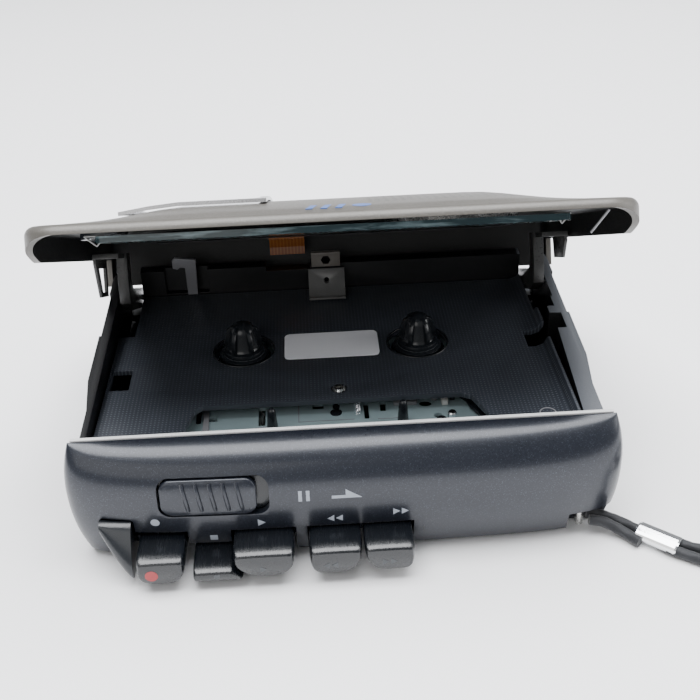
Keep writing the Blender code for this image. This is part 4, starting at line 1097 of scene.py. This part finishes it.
def spindle_rings():
    """A lighter ring on each spindle's shoulder, and the well's rounded lip round its recess."""
    for name in ("supply", "takeup"):
        low, high = [[c / MM for c in corner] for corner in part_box(f"{name}_spindle")]
        centre = ((low[0] + high[0]) / 2, (low[1] + high[1]) / 2)
        softened(f"{name}_spindle", "gloss", 0.16, 35.0)
        ring = bmesh.new()
        add_mark_ring(ring, centre, 5.0, 0.35, 22.3, 22.62)
        make_piece(f"{name}_shoulder_ring", ring, "key_mark", f"{name}_reel", 60.0)
        lip = bmesh.new()
        path = [(x, y, DECK_Z) for x, y in disc(centre, RECESS_LIP_RADIUS, 48)]
        add_rod(lip, path + [path[0]], 0.22, 8)
        make_piece(f"{name}_recess_lip", lip, "gloss", "case", 60.0)


def deck_marks():
    """The moulder's ring mark near the front right corner."""
    bm = bmesh.new()
    add_mark_ring(bm, (45.3, -25.2), 1.9, 0.3, DECK_Z - 0.05, DECK_Z + 0.08)
    make_piece("deck_ring_mark", bm, "lever_grey", "case", 60.0)


def soft_edges():
    """CAD nodes that only need the rounded edges of moulded and pressed parts."""
    for names, material, width in (
        ("bottom_case battery_door", "charcoal", 0.35),
        ("middle_frame", "frame_grey", 0.22),
        ("deck_plate", "deck", 0.12),
        ("lid_arm_left lid_arm_right", "arm_grey", 0.2),
        ("record_safety_lever", "lever_grey", 0.15),
        ("leaf_spring_clip", "clip_beige", 0.08),
        ("cassette_leaf_spring", "dull_silver", 0.06),
        ("strap_post", "steel", 0.1),
        ("guide_pin_left guide_pin_right erase_head pinch_roller_arm", "gloss", 0.1),
    ):
        for name in names.split():
            softened(name, material, width)


# ---------------------------------------------------------------- strap


def smooth_route(points, spacing):
    """Points at even spacing along a smooth curve through the given ones."""
    path = [Vector(p) for p in points]
    path = [2 * path[0] - path[1]] + path + [2 * path[-1] - path[-2]]
    fine = []
    for k in range(1, len(path) - 2):
        p0, p1, p2, p3 = path[k - 1 : k + 3]
        for step in range(24):
            t = step / 24
            a = 2 * p1 + (p2 - p0) * t
            b = (2 * p0 - 5 * p1 + 4 * p2 - p3) * t**2
            c = (3 * p1 - p0 - 3 * p2 + p3) * t**3
            fine.append(0.5 * (a + b + c))
    fine.append(path[-2])
    total = sum((b - a).length for a, b in zip(fine, fine[1:]))
    count = round(total / spacing)
    route, travelled = [fine[0]], 0.0
    for a, b in zip(fine, fine[1:]):
        travelled += (b - a).length
        if travelled >= total / count * len(route) and len(route) < count:
            route.append(b)
    return route + [fine[-1]], total


def strap_route():
    """Out of the post, through the ferrule, round the coil and back into the ferrule."""
    points = [(52.4, -37.15, 3.5), (56.0, -37.6, 3.0), (59.6, -39.0, 2.1), (62.6, -41.3, 1.7)]
    points += [(64.7, -44.0, 1.6), (66.7, -46.3, 1.5), (69.4, -48.7, 1.4)]
    points += [(x, y, STRAP_LIFT) for x, y in ((75.6, -52.4), (84.8, -55.6))]
    outer, inner, upper, middle = 15.2, 12.7, 3.8, 14.0
    start, end = -96.0, 870.0
    stages = [(0.0, outer, STRAP_LIFT), (250.0, outer, STRAP_LIFT), (330.0, inner, STRAP_LIFT)]
    stages += [(560.0, inner, STRAP_LIFT), (650.0, middle, upper), (900.0, middle, upper)]
    stages += [(end - start, 15.6, upper)]
    steps = 60
    for k in range(steps + 1):
        turned = (end - start) * k / steps
        for (a0, r0, z0), (a1, r1, z1) in zip(stages, stages[1:]):
            if a0 <= turned <= a1 + 1e-6:
                share = (turned - a0) / (a1 - a0)
                share = share * share * (3 - 2 * share)
                radius, height = r0 + (r1 - r0) * share, z0 + (z1 - z0) * share
        angle = math.radians(start + turned)
        x = COIL_CENTRE[0] + radius * math.cos(angle)
        y = COIL_CENTRE[1] + radius * math.sin(angle)
        points.append((x, y, height))
    points += [(84.3, -34.0, 2.1), (82.3, -39.6, STRAP_LIFT), (80.9, -44.2, STRAP_LIFT)]
    points += [(x, y, STRAP_LIFT) for x, y in ((77.8, -48.0), (74.4, -48.2), (71.8, -46.9))]
    return points + [(70.6, -46.1, 1.5), (69.5, -45.3, 1.6)]


def braid(route):
    """A round braid: two sets of strands that cross as they wind along it."""
    around, strands, pitch = 16, 4, 5.2

    def woven(angle, travelled):
        wind = math.tau * travelled / pitch
        weave = max(math.sin(strands * angle + wind), math.sin(strands * angle - wind))
        return STRAP_DIAMETER / 2 * (0.93 + 0.08 * weave)

    bm = bmesh.new()
    add_rod(bm, route, woven, around)
    return bm


def strap():
    """The wrist strap, a cord that leaves the post and comes back into the ferrule."""
    route, total = smooth_route(strap_route(), STRAP_SPACING)
    piece = make_piece("wrist_strap", braid(route), "braid", "case", 80.0)
    loop = smooth_route(STRAP_LOOP, STRAP_SPACING)[0]
    make_piece("strap_loop_strand", braid(loop), "braid", "case", 80.0)
    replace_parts(piece, "strap_bridle", "strap_lead", "strap_return", "strap_coil")
    [MM * c for c in route[0]]
    [[MM * c for c in p] for p in route]


# ---------------------------------------------------------------- stage


def floor():
    bm = bmesh.new()
    corners = ((-1, -1), (1, -1), (1, 1), (-1, 1))
    bm.faces.new([bm.verts.new((x * FLOOR_REACH * MM, y * FLOOR_REACH * MM, 0.0)) for x, y in corners])
    mesh = bpy.data.meshes.new("floor")
    bm.to_mesh(mesh)
    bm.free()
    mesh.materials.append(satin("floor_pale", (0.93, 0.93, 0.94), 0.6, tone=0.01, tone_scale=3.0, relief=0.0))
    add_object("floor", mesh)


camera()
strap()
lights()
floor()
front_panel()
pause_control()
panel_prints()
for name in ("record_key", "stop_key", "play_key", "rewind_key", "forward_key"):
    key_cap(name)
key_marks()
guard_fin()
lid_shell()
lid_prints()
lid_underside()
deck_details()
return_spring()
spindle_rings()
deck_marks()
soft_edges()
finish_nodes()
